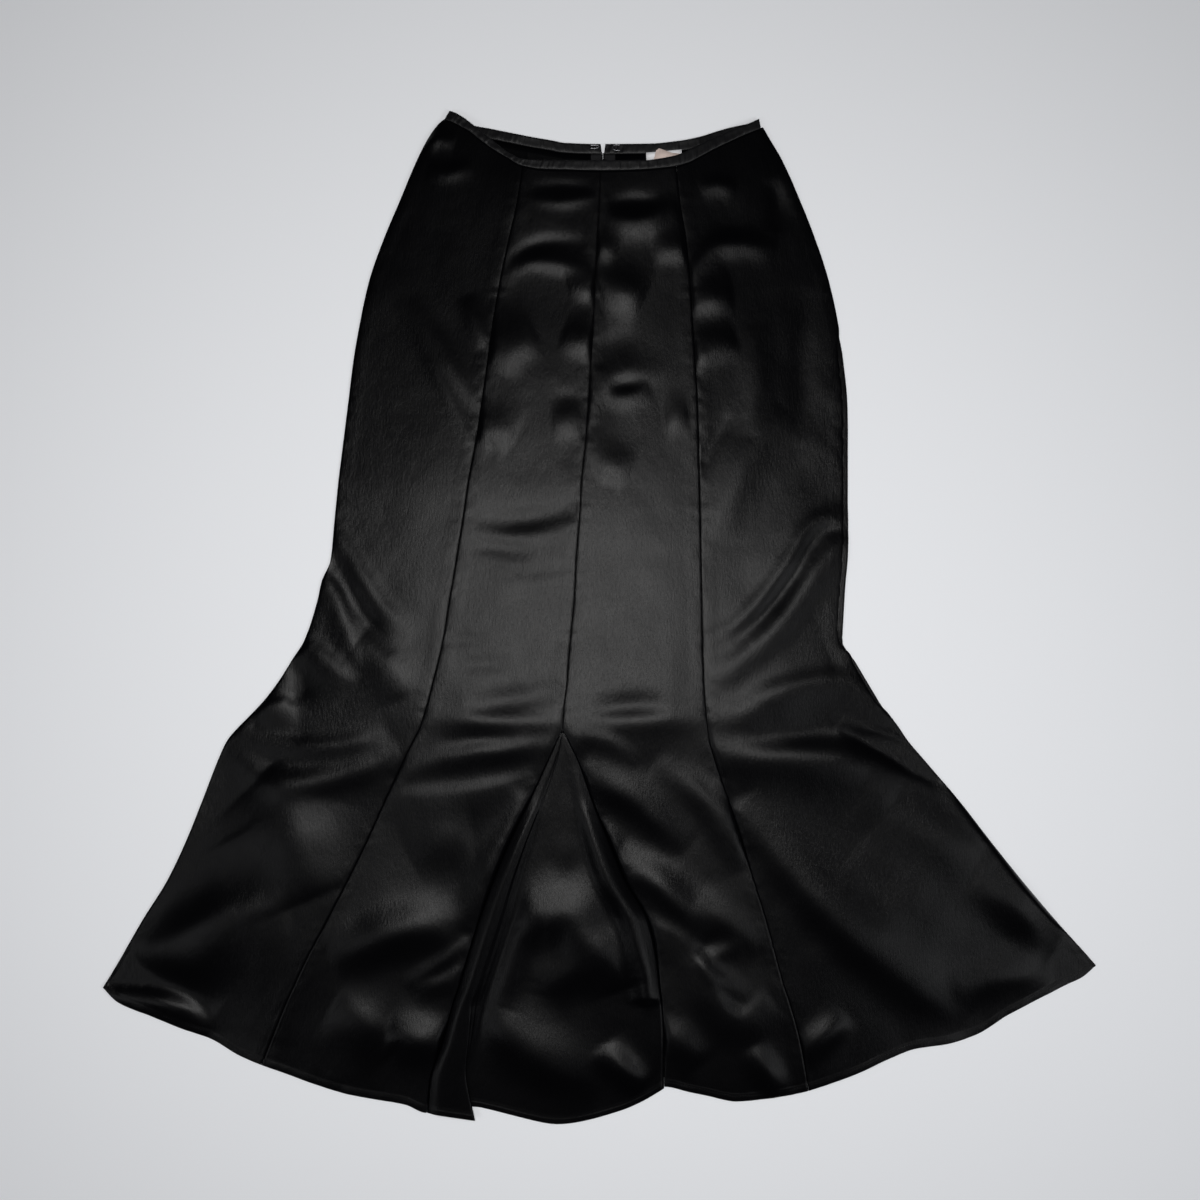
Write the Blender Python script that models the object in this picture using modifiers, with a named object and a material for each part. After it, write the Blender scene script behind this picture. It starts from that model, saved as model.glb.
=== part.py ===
"""Mermaid fishtail skirt in satin, laid flat with its front up.

Eight gores with a godet let into the centre front seam, a narrow waist binding,
a centre back zip with a hook and eye, and a blank label inside the back.
Metres, +Z up, waist towards +Y; the origin is under the middle of the skirt's box.
"""
import math

import bmesh
import bpy
from mathutils import Matrix, Vector

# ---------------------------------------------------------------- sizes (mm)
# x runs across from the middle of the skirt's width, drop runs down from the
# waist's highest corner.  Everything is millimetres until it becomes a mesh.
DROP_0 = 505.5            # drop 0 is this far up the Y axis from the middle of the length
CLOTH_T = 1.2             # wall of each gore
REST_GAP = 0.3            # gap between pieces that lie on each other
SEAM_HALF = 0.2           # half of the gap between two gores at a seam
BAND_W = 10.0             # waist binding, finished width

# The cut, laid flat: where each seam of the front crosses a section at this drop.
# side = silhouette, princess = seam between side and centre gore,
# centre_l / centre_r = centre front seam, which splits round the godet below its apex.
SECTIONS = (
    # drop, side_l, princess_l, centre_l, centre_r, princess_r, side_r
    (8.0, -154.5, -75.0, 1.0, 1.0, 76.0, 159.0),
    (12.0, -159.5, -75.4, 1.0, 1.0, 76.0, 160.8),
    (26.0, -170.0, -76.0, 1.0, 1.0, 76.1, 168.5),
    (48.0, -181.5, -76.3, 1.0, 1.0, 76.3, 181.5),
    (88.0, -198.5, -81.3, 0.0, 0.0, 79.5, 199.5),
    (128.0, -215.5, -90.2, -2.3, -2.3, 86.1, 215.5),
    (168.0, -229.5, -98.8, -4.3, -4.3, 90.0, 228.5),
    (208.0, -238.5, -105.8, -5.9, -5.9, 92.5, 237.5),
    (248.0, -245.5, -111.3, -8.3, -8.3, 95.0, 243.5),
    (288.0, -250.5, -117.0, -10.8, -10.8, 97.5, 247.5),
    (328.0, -255.5, -123.0, -13.7, -13.7, 98.7, 248.5),
    (368.0, -260.5, -130.5, -17.8, -17.8, 99.7, 248.5),
    (408.0, -264.5, -136.5, -20.1, -20.1, 100.6, 248.5),
    (448.0, -268.5, -143.0, -23.2, -23.2, 101.3, 247.5),
    (470.0, -277.5, -146.5, -24.3, -24.3, 101.7, 245.5),
    (488.0, -281.5, -149.8, -25.3, -25.3, 102.0, 244.5),
    (528.0, -294.5, -156.0, -29.2, -29.2, 102.6, 242.8),
    (548.0, -307.0, -160.5, -30.8, -30.8, 103.1, 255.0),
    (568.0, -319.5, -165.5, -32.2, -32.2, 103.7, 266.5),
    (588.0, -334.5, -170.5, -34.7, -34.7, 104.8, 278.5),
    (608.0, -353.5, -176.5, -36.3, -36.3, 106.5, 293.5),
    (615.0, -360.5, -178.8, -36.8, -36.8, 107.4, 298.8),
    (628.0, -371.5, -185.5, -42.7, -30.5, 109.3, 307.5),
    (648.0, -381.0, -195.2, -51.7, -21.0, 114.8, 324.5),
    (688.0, -396.5, -214.0, -70.3, -6.5, 128.7, 358.5),
    (728.0, -412.5, -232.0, -89.9, 9.8, 142.0, 389.5),
    (768.0, -431.5, -251.5, -106.5, 26.5, 154.0, 421.5),
    (808.0, -456.5, -272.0, -120.9, 49.5, 166.3, 455.5),
    (848.0, -479.5, -293.0, -133.0, 58.0, 177.0, 491.5),
    (873.0, -494.5, -304.5, -140.5, 60.5, 183.9, 512.0),
    (888.0, -503.5, -311.5, -145.7, 62.3, 189.0, 524.5),
    (928.0, -527.5, -328.0, -156.7, 64.3, 200.0, 557.5),
    (968.0, -551.5, -344.0, -169.5, 64.5, 207.0, 590.5),
    (1011.0, -577.5, -361.0, -173.0, 64.5, 212.5, 626.0),
)
S_DROP, S_SIDE_L, S_PRIN_L, S_CEN_L, S_CEN_R, S_PRIN_R, S_SIDE_R = range(7)

# Hem line of the four front gores: drop at each x
HEM = (
    # x, drop
    (-494.5, 876.0), (-478.5, 890.0), (-448.5, 902.0), (-418.5, 915.0), (-388.5, 926.0),
    (-358.5, 943.0), (-313.5, 960.0), (-283.5, 971.0), (-253.5, 980.0), (-223.5, 986.0),
    (-193.5, 991.0), (-172.5, 999.0),
    (-100.0, 985.0), (0.0, 978.0),
    (64.5, 973.0), (91.5, 979.0), (106.5, 982.0), (136.5, 988.0), (166.5, 985.0),
    (196.5, 980.0), (226.5, 971.0), (256.5, 960.0), (286.5, 946.0), (316.5, 935.0),
    (346.5, 931.0), (376.5, 922.0), (406.5, 903.0), (436.5, 887.0), (466.5, 872.0),
    (481.5, 865.0), (494.5, 854.0),
)

# Lower edge of the front waist binding and upper edges of front and back binding
FRONT_SEAM = (
    # x, drop
    (-154.5, 9.0), (-146.5, 12.0), (-137.0, 17.0), (-129.5, 21.5), (-117.5, 31.0),
    (-103.5, 41.0), (-91.5, 48.0), (-80.5, 54.8), (-74.5, 56.5), (-58.5, 59.3), (-30.0, 60.2),
    (0.0, 61.0), (36.5, 60.0), (71.5, 57.0), (87.5, 53.0), (100.5, 46.5), (111.5, 40.5),
    (122.5, 35.0), (140.5, 26.5), (160.5, 18.0),
)
FRONT_TOP = (
    # x, drop
    (-149.3, 0.0), (-146.5, 1.0), (-134.5, 8.0), (-127.5, 13.6), (-115.5, 23.0), (-105.5, 31.0),
    (-94.5, 40.0), (-84.5, 46.0), (-77.5, 49.0), (-55.0, 50.3), (0.0, 50.7), (46.5, 50.5),
    (60.5, 48.6), (71.5, 46.5), (82.5, 43.2), (90.5, 38.7), (100.5, 34.3), (110.5, 29.2),
    (120.5, 24.8), (135.5, 18.5), (152.5, 11.5), (159.0, 8.0),
)
BACK_TOP = (
    # x, drop
    (-149.3, 0.6), (-146.5, 1.3), (-134.5, 8.2), (-127.5, 13.4), (-109.5, 17.0), (-89.5, 21.0),
    (-69.5, 25.0), (-49.5, 28.5), (-33.5, 31.3), (0.0, 32.4), (50.5, 32.0), (80.5, 29.0),
    (90.5, 27.3), (100.5, 25.0), (115.5, 20.3), (130.5, 16.0), (145.5, 12.8), (153.5, 11.0),
    (159.0, 8.4),
)


def column(rows, col, t):
    """Smooth, overshoot-free curve through one column of a table, read at t."""
    n = len(rows)
    if t <= rows[0][0]:
        k, s = 0, (rows[1][col] - rows[0][col]) / (rows[1][0] - rows[0][0])
        return rows[0][col] + s * (t - rows[0][0])
    if t >= rows[-1][0]:
        s = (rows[-1][col] - rows[-2][col]) / (rows[-1][0] - rows[-2][0])
        return rows[-1][col] + s * (t - rows[-1][0])
    k = 0
    while rows[k + 1][0] < t:
        k += 1

    def chord(i):
        return (rows[i + 1][col] - rows[i][col]) / (rows[i + 1][0] - rows[i][0])

    def slope(i):
        if i == 0 or i == n - 1:
            return chord(min(i, n - 2))
        a, b = chord(i - 1), chord(i)
        if a * b <= 0.0:
            return 0.0
        return 2.0 * a * b / (a + b)
    h = rows[k + 1][0] - rows[k][0]
    f = (t - rows[k][0]) / h
    p0, p1 = rows[k][col], rows[k + 1][col]
    m0, m1 = slope(k) * h, slope(k + 1) * h
    return ((2 * f ** 3 - 3 * f ** 2 + 1) * p0 + (f ** 3 - 2 * f ** 2 + f) * m0
            + (-2 * f ** 3 + 3 * f ** 2) * p1 + (f ** 3 - f ** 2) * m1)


def seam(col, drop):
    return column(SECTIONS, col, drop)


def smooth(a, b, t):
    """0 below a, 1 above b, eased between."""
    f = min(1.0, max(0.0, (t - a) / (b - a)))
    return f * f * (3.0 - 2.0 * f)


# ---------------------------------------------------------------- heights (mm)
EDGE_WAIST = 2.5          # front sheet above the rest plane at the waist corners
EDGE_SIDE = 1.5           # front sheet above the rest plane along the side seams
PUFF = (
    # drop, air under the middle of the front
    (0.0, 5.3), (60.0, 5.3), (120.0, 4.2), (300.0, 3.4), (600.0, 3.2), (850.0, 2.4), (1011.0, 1.2),
)

# The main folds of the front, as soft ridges along a bent line of three points.
FOLDS = (
    # x0, drop0, x1, drop1, x2, drop2, height, half_width
    (-266.0, 420.0, -240.0, 472.0, -198.0, 516.0, 8.0, 13.0),     # side left, knee ridge
    (-276.0, 466.0, -262.0, 492.0, -246.0, 536.0, 6.0, 11.0),     # side left, second knee ridge
    (-356.0, 614.0, -318.0, 630.0, -220.0, 618.0, 5.0, 17.0),     # side left, flare ridge
    (-358.0, 652.0, -300.0, 672.0, -206.0, 640.0, 5.0, 16.0),     # side left, lower flare ridge
    (-440.0, 818.0, -380.0, 784.0, -310.0, 770.0, 5.0, 30.0),     # side left, broad hem swell
    (-488.0, 872.0, -430.0, 888.0, -392.0, 916.0, 4.0, 14.0),     # side left, hem corner
    (-200.0, 668.0, -130.0, 646.0, -52.0, 630.0, 5.0, 14.0),      # centre left, ridge into the apex
    (-198.0, 690.0, -140.0, 680.0, -80.0, 664.0, 4.0, 12.0),      # centre left, lower ridge
    (230.0, 392.0, 186.0, 452.0, 112.0, 516.0, 8.0, 14.0),        # side right, upper knee ridge
    (246.0, 424.0, 204.0, 480.0, 126.0, 584.0, 9.0, 15.0),        # side right, main knee ridge
    (232.0, 540.0, 190.0, 572.0, 132.0, 597.0, 5.0, 14.0),        # side right, third knee ridge
    (150.0, 718.0, 240.0, 800.0, 360.0, 896.0, 7.0, 24.0),        # side right, diagonal swell
    (-28.0, 613.0, 30.0, 608.0, 92.0, 604.0, 4.0, 10.0),          # centre right, ridge at the apex
    (-20.0, 622.0, 36.0, 648.0, 70.0, 701.0, 6.0, 13.0),          # centre right, upper slant
    (-14.0, 664.0, 40.0, 706.0, 78.0, 738.0, 6.0, 12.0),          # centre right, middle slant
    (52.0, 812.0, 96.0, 852.0, 150.0, 900.0, 8.0, 13.0),          # centre right, hooked fold
    (-92.0, 152.0, -55.0, 126.0, -18.0, 138.0, 3.0, 12.0),        # centre left, top crescent
)

# The godet hangs as a soft wave with a pleat lapped over its left side at the hem
# and a standing fold on its right.  Places across are fractions of its width, heights
# are the cloth's middle above the rest plane, and lap is how far the pleat is folded over.
GODET = (
    # drop, crest_at, crest_z, fold_at, fold_z, tuck_at, tuck_z, foot_at, foot_z, mid_z,
    #       foot2_at, foot2_z, crest2_at, crest2_z, lap
    (615.0, 0.28, 4.8, 0.33, 4.7, 0.37, 4.6, 0.42, 4.5, 4.5, 0.60, 4.5, 0.74, 4.8, 0.0),
    (660.0, 0.15, 7.0, 0.21, 6.4, 0.26, 5.2, 0.33, 3.8, 4.4, 0.64, 3.8, 0.82, 7.2, 0.0),
    (728.0, 0.10, 8.0, 0.15, 7.2, 0.19, 5.0, 0.26, 3.2, 4.6, 0.70, 3.2, 0.85, 8.4, 0.0),
    (808.0, 0.07, 8.4, 0.11, 7.6, 0.15, 5.2, 0.20, 3.0, 4.8, 0.76, 3.0, 0.89, 9.0, 0.0),
    (872.0, 0.055, 8.6, 0.09, 7.8, 0.12, 5.4, 0.16, 2.8, 4.6, 0.82, 2.8, 0.93, 9.4, 0.1),
    (888.0, 0.050, 8.6, 0.09, 7.8, 0.115, 5.4, 0.155, 2.7, 4.4, 0.83, 2.7, 0.93, 8.8, 0.2),
    (902.0, 0.045, 8.5, 0.10, 7.8, 0.12, 5.3, 0.155, 2.6, 4.2, 0.83, 2.7, 0.92, 5.0, 0.3),
    (940.0, 0.045, 8.2, 0.13, 7.6, 0.13, 5.1, 0.170, 2.5, 3.4, 0.82, 2.6, 0.91, 3.8, 0.8),
    (968.0, 0.050, 8.0, 0.16, 7.5, 0.135, 5.0, 0.185, 2.5, 3.0, 0.80, 2.5, 0.90, 3.6, 1.0),
    (1011.0, 0.060, 7.8, 0.21, 7.4, 0.145, 4.9, 0.235, 2.4, 2.8, 0.78, 2.4, 0.90, 3.2, 1.0),
)
FOLD_STEP = 1.25          # rise of half a turned fold
FOLD_NOSE = 1.2           # reach of a turned fold's nose
GODET_HEM = (
    # place along the section: drop of the hem there
    (0.0, 999.0), (1.0, 1001.0), (2.0, 1006.0), (3.0, 1006.3), (4.0, 1005.0), (5.0, 998.0),
    (6.0, 995.0), (7.0, 993.0), (8.0, 994.0), (9.0, 1011.0), (10.0, 1000.0), (11.0, 989.0),
    (12.0, 975.0),
)
GODET_APEX = 618.5
GODET_SEAM_HALF = 0.8

ZIP_X = 3.5               # centre back opening
ZIP_LENGTH = 190.0
ZIP_TAPE_W = 11.0
ZIP_TAPE_T = 1.0
SLIDER_DROP = 54.0        # drop of the slider's eye
EYE_Z = 1.5               # height of the pull tab's hinge above the rest plane
TAB_LENGTH = 22.0
TAB_W = 5.0
TAB_T = 0.8
HUMP = 2.3                # back gores lift this much over the pull tab
BAND_T = 2.0

COLLECTION = "mermaid_fishtail_skirt"


def ridge(fold, x, d):
    x0, d0, x1, d1, x2, d2, height, width = fold
    best, along = 1e9, 0.0
    steps = 12
    px, pd = x0, d0
    for k in range(1, steps + 1):
        t = k / steps
        a, b, c = (1 - t) * (1 - 2 * t), 4 * t * (1 - t), t * (2 * t - 1)
        qx, qd = a * x0 + b * x1 + c * x2, a * d0 + b * d1 + c * d2
        ex, ed = qx - px, qd - pd
        f = max(0.0, min(1.0, ((x - px) * ex + (d - pd) * ed) / (ex * ex + ed * ed)))
        r = math.hypot(x - px - f * ex, d - pd - f * ed)
        if r < best:
            best, along = r, t - (1.0 - f) / steps
        px, pd = qx, qd
    ends = smooth(-0.02, 0.3, along) * smooth(-0.02, 0.3, 1.0 - along)
    return height * ends * math.exp(-(best / width) ** 2)


def front_height(x, d):
    """Underside of the front sheet above the rest plane."""
    left, right = seam(S_SIDE_L, d), seam(S_SIDE_R, d)
    g = min(1.0, max(0.0, (x - left) / (right - left)))
    edge = EDGE_WAIST + (EDGE_SIDE - EDGE_WAIST) * smooth(60.0, 130.0, d)
    h = edge + column(PUFF, 1, d) * (4.0 * g * (1.0 - g)) ** 0.7
    near = min(x - left, right - x)
    lift = sum(ridge(f, x, d) for f in FOLDS)
    return h + lift * smooth(0.0, 14.0, near)


def back_height(x, d):
    """Underside of the back sheet: flat, but lifted over the pull tab."""
    across = 1.0 - smooth(5.0, 26.0, abs(x - ZIP_X))
    along = smooth(43.5, 49.5, d) * (1.0 - smooth(80.0, 106.0, d))
    return HUMP * across * along


def right_roll(d):
    """How far the back rolls round the right edge, so the side seam sits inside it."""
    return 5.0 * smooth(215.0, 245.0, d) * (1.0 - smooth(520.0, 545.0, d)) + \
        3.5 * smooth(540.0, 552.0, d) * (1.0 - smooth(585.0, 602.0, d))


def front_left_edge(d):
    return seam(S_SIDE_L, d)


def front_right_edge(d):
    return seam(S_SIDE_R, d) - right_roll(d)


def back_left_edge(d):
    return seam(S_SIDE_L, d) + 1.0


def back_right_edge(d):
    return seam(S_SIDE_R, d) - (1.0 if right_roll(d) < 0.5 else 0.0)


def back_centre(d):
    if d < 615.0:
        return seam(S_CEN_L, d) + 2.5
    return -34.3 + (d - 615.0) * (-18.0 / 375.0)


def slit(d):
    """Half of the opening between the back gores: wider round the slider's neck."""
    return SEAM_HALF + 1.0 * smooth(48.0, 50.5, d) * (1.0 - smooth(59.0, 62.0, d))


def hem(x):
    return column(HEM, 1, x)


def back_hem(x):
    return column(HEM, 1, x) - 8.0


def front_top(x):
    return column(FRONT_SEAM, 1, x) + 1.0


def back_band_low(x):
    """Lower edge of the back binding, measured straight down the skirt."""
    e = 0.5
    s = (column(BACK_TOP, 1, x + e) - column(BACK_TOP, 1, x - e)) / (2 * e)
    return column(BACK_TOP, 1, x) + BAND_W * math.sqrt(1.0 + s * s)


def back_top(x):
    return back_band_low(x) + 1.2


def gore_point(left, right, top, bottom, u, v):
    """Plan place of a gore's point, u across and v down it."""
    d = 100.0 + 800.0 * v
    x = 0.0
    for _ in range(60):
        x = (1.0 - u) * left(d) + u * right(d)
        want = top(x) + v * (bottom(x) - top(x))
        d += 0.6 * (want - d)
    return x, d


def place(x, d, z):
    return (x * 0.001, (DROP_0 - d) * 0.001, z * 0.001)


# ---------------------------------------------------------------- Blender helpers
def clear_scene():
    for obj in list(bpy.data.objects):
        bpy.data.objects.remove(obj, do_unlink=True)


def make_collection(name):
    col = bpy.data.collections.new(name)
    bpy.context.scene.collection.children.link(col)
    return col


def make_material(name, colour, rough, metal=0.0):
    mat = bpy.data.materials.new(name)
    mat.use_nodes = True
    bsdf = mat.node_tree.nodes["Principled BSDF"]
    bsdf.inputs["Base Color"].default_value = (*colour, 1.0)
    bsdf.inputs["Roughness"].default_value = rough
    bsdf.inputs["Metallic"].default_value = metal
    mat.diffuse_color = (*colour, 1.0)
    return mat


def add_mesh(name, bm, look, col):
    mesh = bpy.data.meshes.new(name)
    bm.to_mesh(mesh)
    bm.free()
    obj = bpy.data.objects.new(name, mesh)
    colour, rough, metal = look
    mesh.materials.append(make_material(name + "_mat", colour, rough, metal))
    col.objects.link(obj)
    return obj


def lofted(rows):
    """Open sheet through equal rows of points, facing up."""
    bm = bmesh.new()
    grid = [[bm.verts.new(p) for p in row] for row in rows]
    for a, b in zip(grid, grid[1:]):
        for k in range(len(a) - 1):
            bm.faces.new((a[k], b[k], b[k + 1], a[k + 1]))
    return bm


def thicken_up(bm, thickness):
    """Raise a copy of the sheet straight up by the wall, and close the sides."""
    made = bmesh.ops.extrude_face_region(bm, geom=list(bm.faces))
    verts = [g for g in made["geom"] if isinstance(g, bmesh.types.BMVert)]
    bmesh.ops.translate(bm, verts=verts, vec=(0.0, 0.0, thickness * 0.001))
    bmesh.ops.recalc_face_normals(bm, faces=list(bm.faces))
    return bm


def sheet_piece(name, rows, thickness, look, col):
    return add_mesh(name, thicken_up(lofted(rows), thickness), look, col)


def gore(name, left, right, top, bottom, height, stations, across, look, col):
    rows = []
    for v in stations:
        row = []
        for k in range(across + 1):
            x, d = gore_point(left, right, top, bottom, k / across, v)
            row.append(place(x, d, height(x, d)))
        rows.append(row)
    return sheet_piece(name, rows, CLOTH_T, look, col)


def evenly(count):
    return [k / count for k in range(count + 1)]


# ---------------------------------------------------------------- the godet
def godet_knots(d):
    """Section of the godet at a drop: thirteen (x, z) knots from seam to seam."""
    left = seam(S_CEN_L, d) + GODET_SEAM_HALF
    right = seam(S_CEN_R, d) - GODET_SEAM_HALF
    width = right - left

    def at(col):
        return column(GODET, col, d)

    def xat(col):
        return left + at(col) * width
    lap = min(1.0, max(0.0, at(14)))
    nose = min(FOLD_NOSE, 0.012 * width)
    rise = FOLD_STEP * lap + 0.25 * (1.0 - lap)
    turn = nose * (1.0 - 2.0 * lap)
    fx, fz, tx, tz = xat(3), at(4), xat(5), at(6)
    return [
        (left, front_height(left, d) + CLOTH_T / 2),
        (xat(1), at(2)),
        (fx - nose, fz), (fx, fz - rise), (fx + turn, fz - 2 * rise),
        (tx - turn, tz), (tx, tz - rise), (tx + nose, tz - 2 * rise),
        (xat(7), at(8)),
        (left + 0.55 * width, at(9)),
        (xat(10), at(11)),
        (xat(12), at(13)),
        (right, front_height(right, d) + CLOTH_T / 2),
    ]


GODET_STEPS = (0.0, 0.5, 1.0, 1.5, 2.0, 2.5, 3.0, 3.5, 4.0, 4.5, 5.0, 5.5, 6.0, 6.5, 7.0, 7.5, 8.0,
               8.25, 8.5, 8.75, 9.0, 9.25, 9.5, 9.75, 10.0, 10.5, 11.0, 11.5, 12.0)


def godet_point(s, v):
    d = GODET_APEX + v * (column(GODET_HEM, 1, s) - GODET_APEX)
    knots = godet_knots(d)
    xs = [(float(k), p[0], p[1]) for k, p in enumerate(knots)]
    return place(column(xs, 1, s), d, column(xs, 2, s))


def build_godet(look, col):
    rows = [[godet_point(s, v) for s in GODET_STEPS] for v in evenly(15)]
    obj = add_mesh("front_godet", lofted(rows), look, col)
    wall = obj.modifiers.new("wall", "SOLIDIFY")
    wall.thickness = CLOTH_T * 0.001
    wall.offset = 0.0
    return obj


# ---------------------------------------------------------------- waist binding
def band_rows(top, low, x_top, x_low, count, height):
    rows = []
    for k in range(count + 1):
        s = k / count
        xa = x_top[0] + s * (x_top[1] - x_top[0])
        xb = x_low[0] + s * (x_low[1] - x_low[0])
        a, b = (xa, top(xa)), (xb, low(xb))
        rows.append([place(b[0] + f * (a[0] - b[0]), b[1] + f * (a[1] - b[1]),
                           height(b[0] + f * (a[0] - b[0]), b[1] + f * (a[1] - b[1])))
                     for f in (0.0, 0.5, 1.0)])
    return rows


def flat(_x, _d):
    return 0.0


# ---------------------------------------------------------------- hard pieces
def box(bm, lo, hi):
    made = bmesh.ops.create_cube(bm, size=1.0)
    for v in made["verts"]:
        for k in range(3):
            v.co[k] = (lo[k] if v.co[k] < 0 else hi[k])
    return made["verts"]


def rod_x(bm, centre, radius, half, sides):
    turn = Matrix.Rotation(math.radians(90.0), 4, "Y")
    made = bmesh.ops.create_cone(bm, cap_ends=True, segments=sides, radius1=radius, radius2=radius,
                                 depth=2.0 * half)
    for v in made["verts"]:
        v.co = Vector(centre) + (turn @ v.co)
    return made["verts"]


def boolean(obj, other, kind):
    mod = obj.modifiers.new(kind.lower(), "BOOLEAN")
    mod.operation = kind
    mod.solver = "EXACT"
    mod.object = other
    return mod


def cutter(name, bm, col):
    mesh = bpy.data.meshes.new(name)
    bm.to_mesh(mesh)
    bm.free()
    obj = bpy.data.objects.new(name, mesh)
    obj.hide_render = True
    obj.display_type = "WIRE"
    col.objects.link(obj)
    return obj


def wire(name, points, radius, look, col):
    curve = bpy.data.curves.new(name, "CURVE")
    curve.dimensions = "3D"
    curve.bevel_depth = radius * 0.001
    curve.bevel_resolution = 2
    curve.use_fill_caps = True
    spline = curve.splines.new("POLY")
    spline.points.add(len(points) - 1)
    for point, (x, d, z) in zip(spline.points, points):
        point.co = (*place(x, d, z), 1.0)
    obj = bpy.data.objects.new(name, curve)
    colour, rough, metal = look
    curve.materials.append(make_material(name + "_mat", colour, rough, metal))
    col.objects.link(obj)
    return obj


def build_slider(look, col, tools):
    x, y = ZIP_X * 0.001, (DROP_0 - SLIDER_DROP) * 0.001
    low = (HUMP + CLOTH_T + REST_GAP + ZIP_TAPE_T + REST_GAP) * 0.001
    bm = bmesh.new()
    box(bm, (x - 0.003, y - 0.005, low), (x + 0.003, y + 0.005, low + 0.002))
    bmesh.ops.bevel(bm, geom=list(bm.edges), offset=0.0006, segments=2, profile=0.5, affect="EDGES")
    body = add_mesh("zip_slider", bm, look, col)
    bm = bmesh.new()
    box(bm, (x - 0.00052, y - 0.0007, EYE_Z * 0.001 + 0.0009), (x + 0.00052, y + 0.003, low + 0.001))
    boolean(body, cutter("slider_neck", bm, tools), "UNION")
    bm = bmesh.new()
    rod_x(bm, (x, y, EYE_Z * 0.001), 0.0012, 0.0006, 18)
    boolean(body, cutter("slider_eye", bm, tools), "UNION")
    bm = bmesh.new()
    rod_x(bm, (x, y, EYE_Z * 0.001), 0.00068, 0.002, 20)
    boolean(body, cutter("slider_hole", bm, tools), "DIFFERENCE")
    return body


def build_pull_tab(look, col, tools):
    x, y, z = ZIP_X * 0.001, (DROP_0 - SLIDER_DROP) * 0.001, EYE_Z * 0.001
    half, wall = TAB_W * 0.0005, TAB_T * 0.0005
    hinge = Vector((x, y, z))
    bm = bmesh.new()
    box(bm, (-half, -TAB_LENGTH * 0.001, -wall), (half, 0.0, wall))
    tab = add_mesh("zip_pull_tab", bm, look, col)
    tab.location = hinge
    bm = bmesh.new()
    box(bm, (x - 0.00125, y - 0.0037, z - 0.002), (x + 0.00125, y + 0.001, z + 0.002))
    boolean(tab, cutter("tab_slot", bm, tools), "DIFFERENCE")
    bm = bmesh.new()
    rod_x(bm, hinge, TAB_T * 0.0005, half, 16)
    boolean(tab, cutter("tab_bar", bm, tools), "UNION")
    return tab


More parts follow.
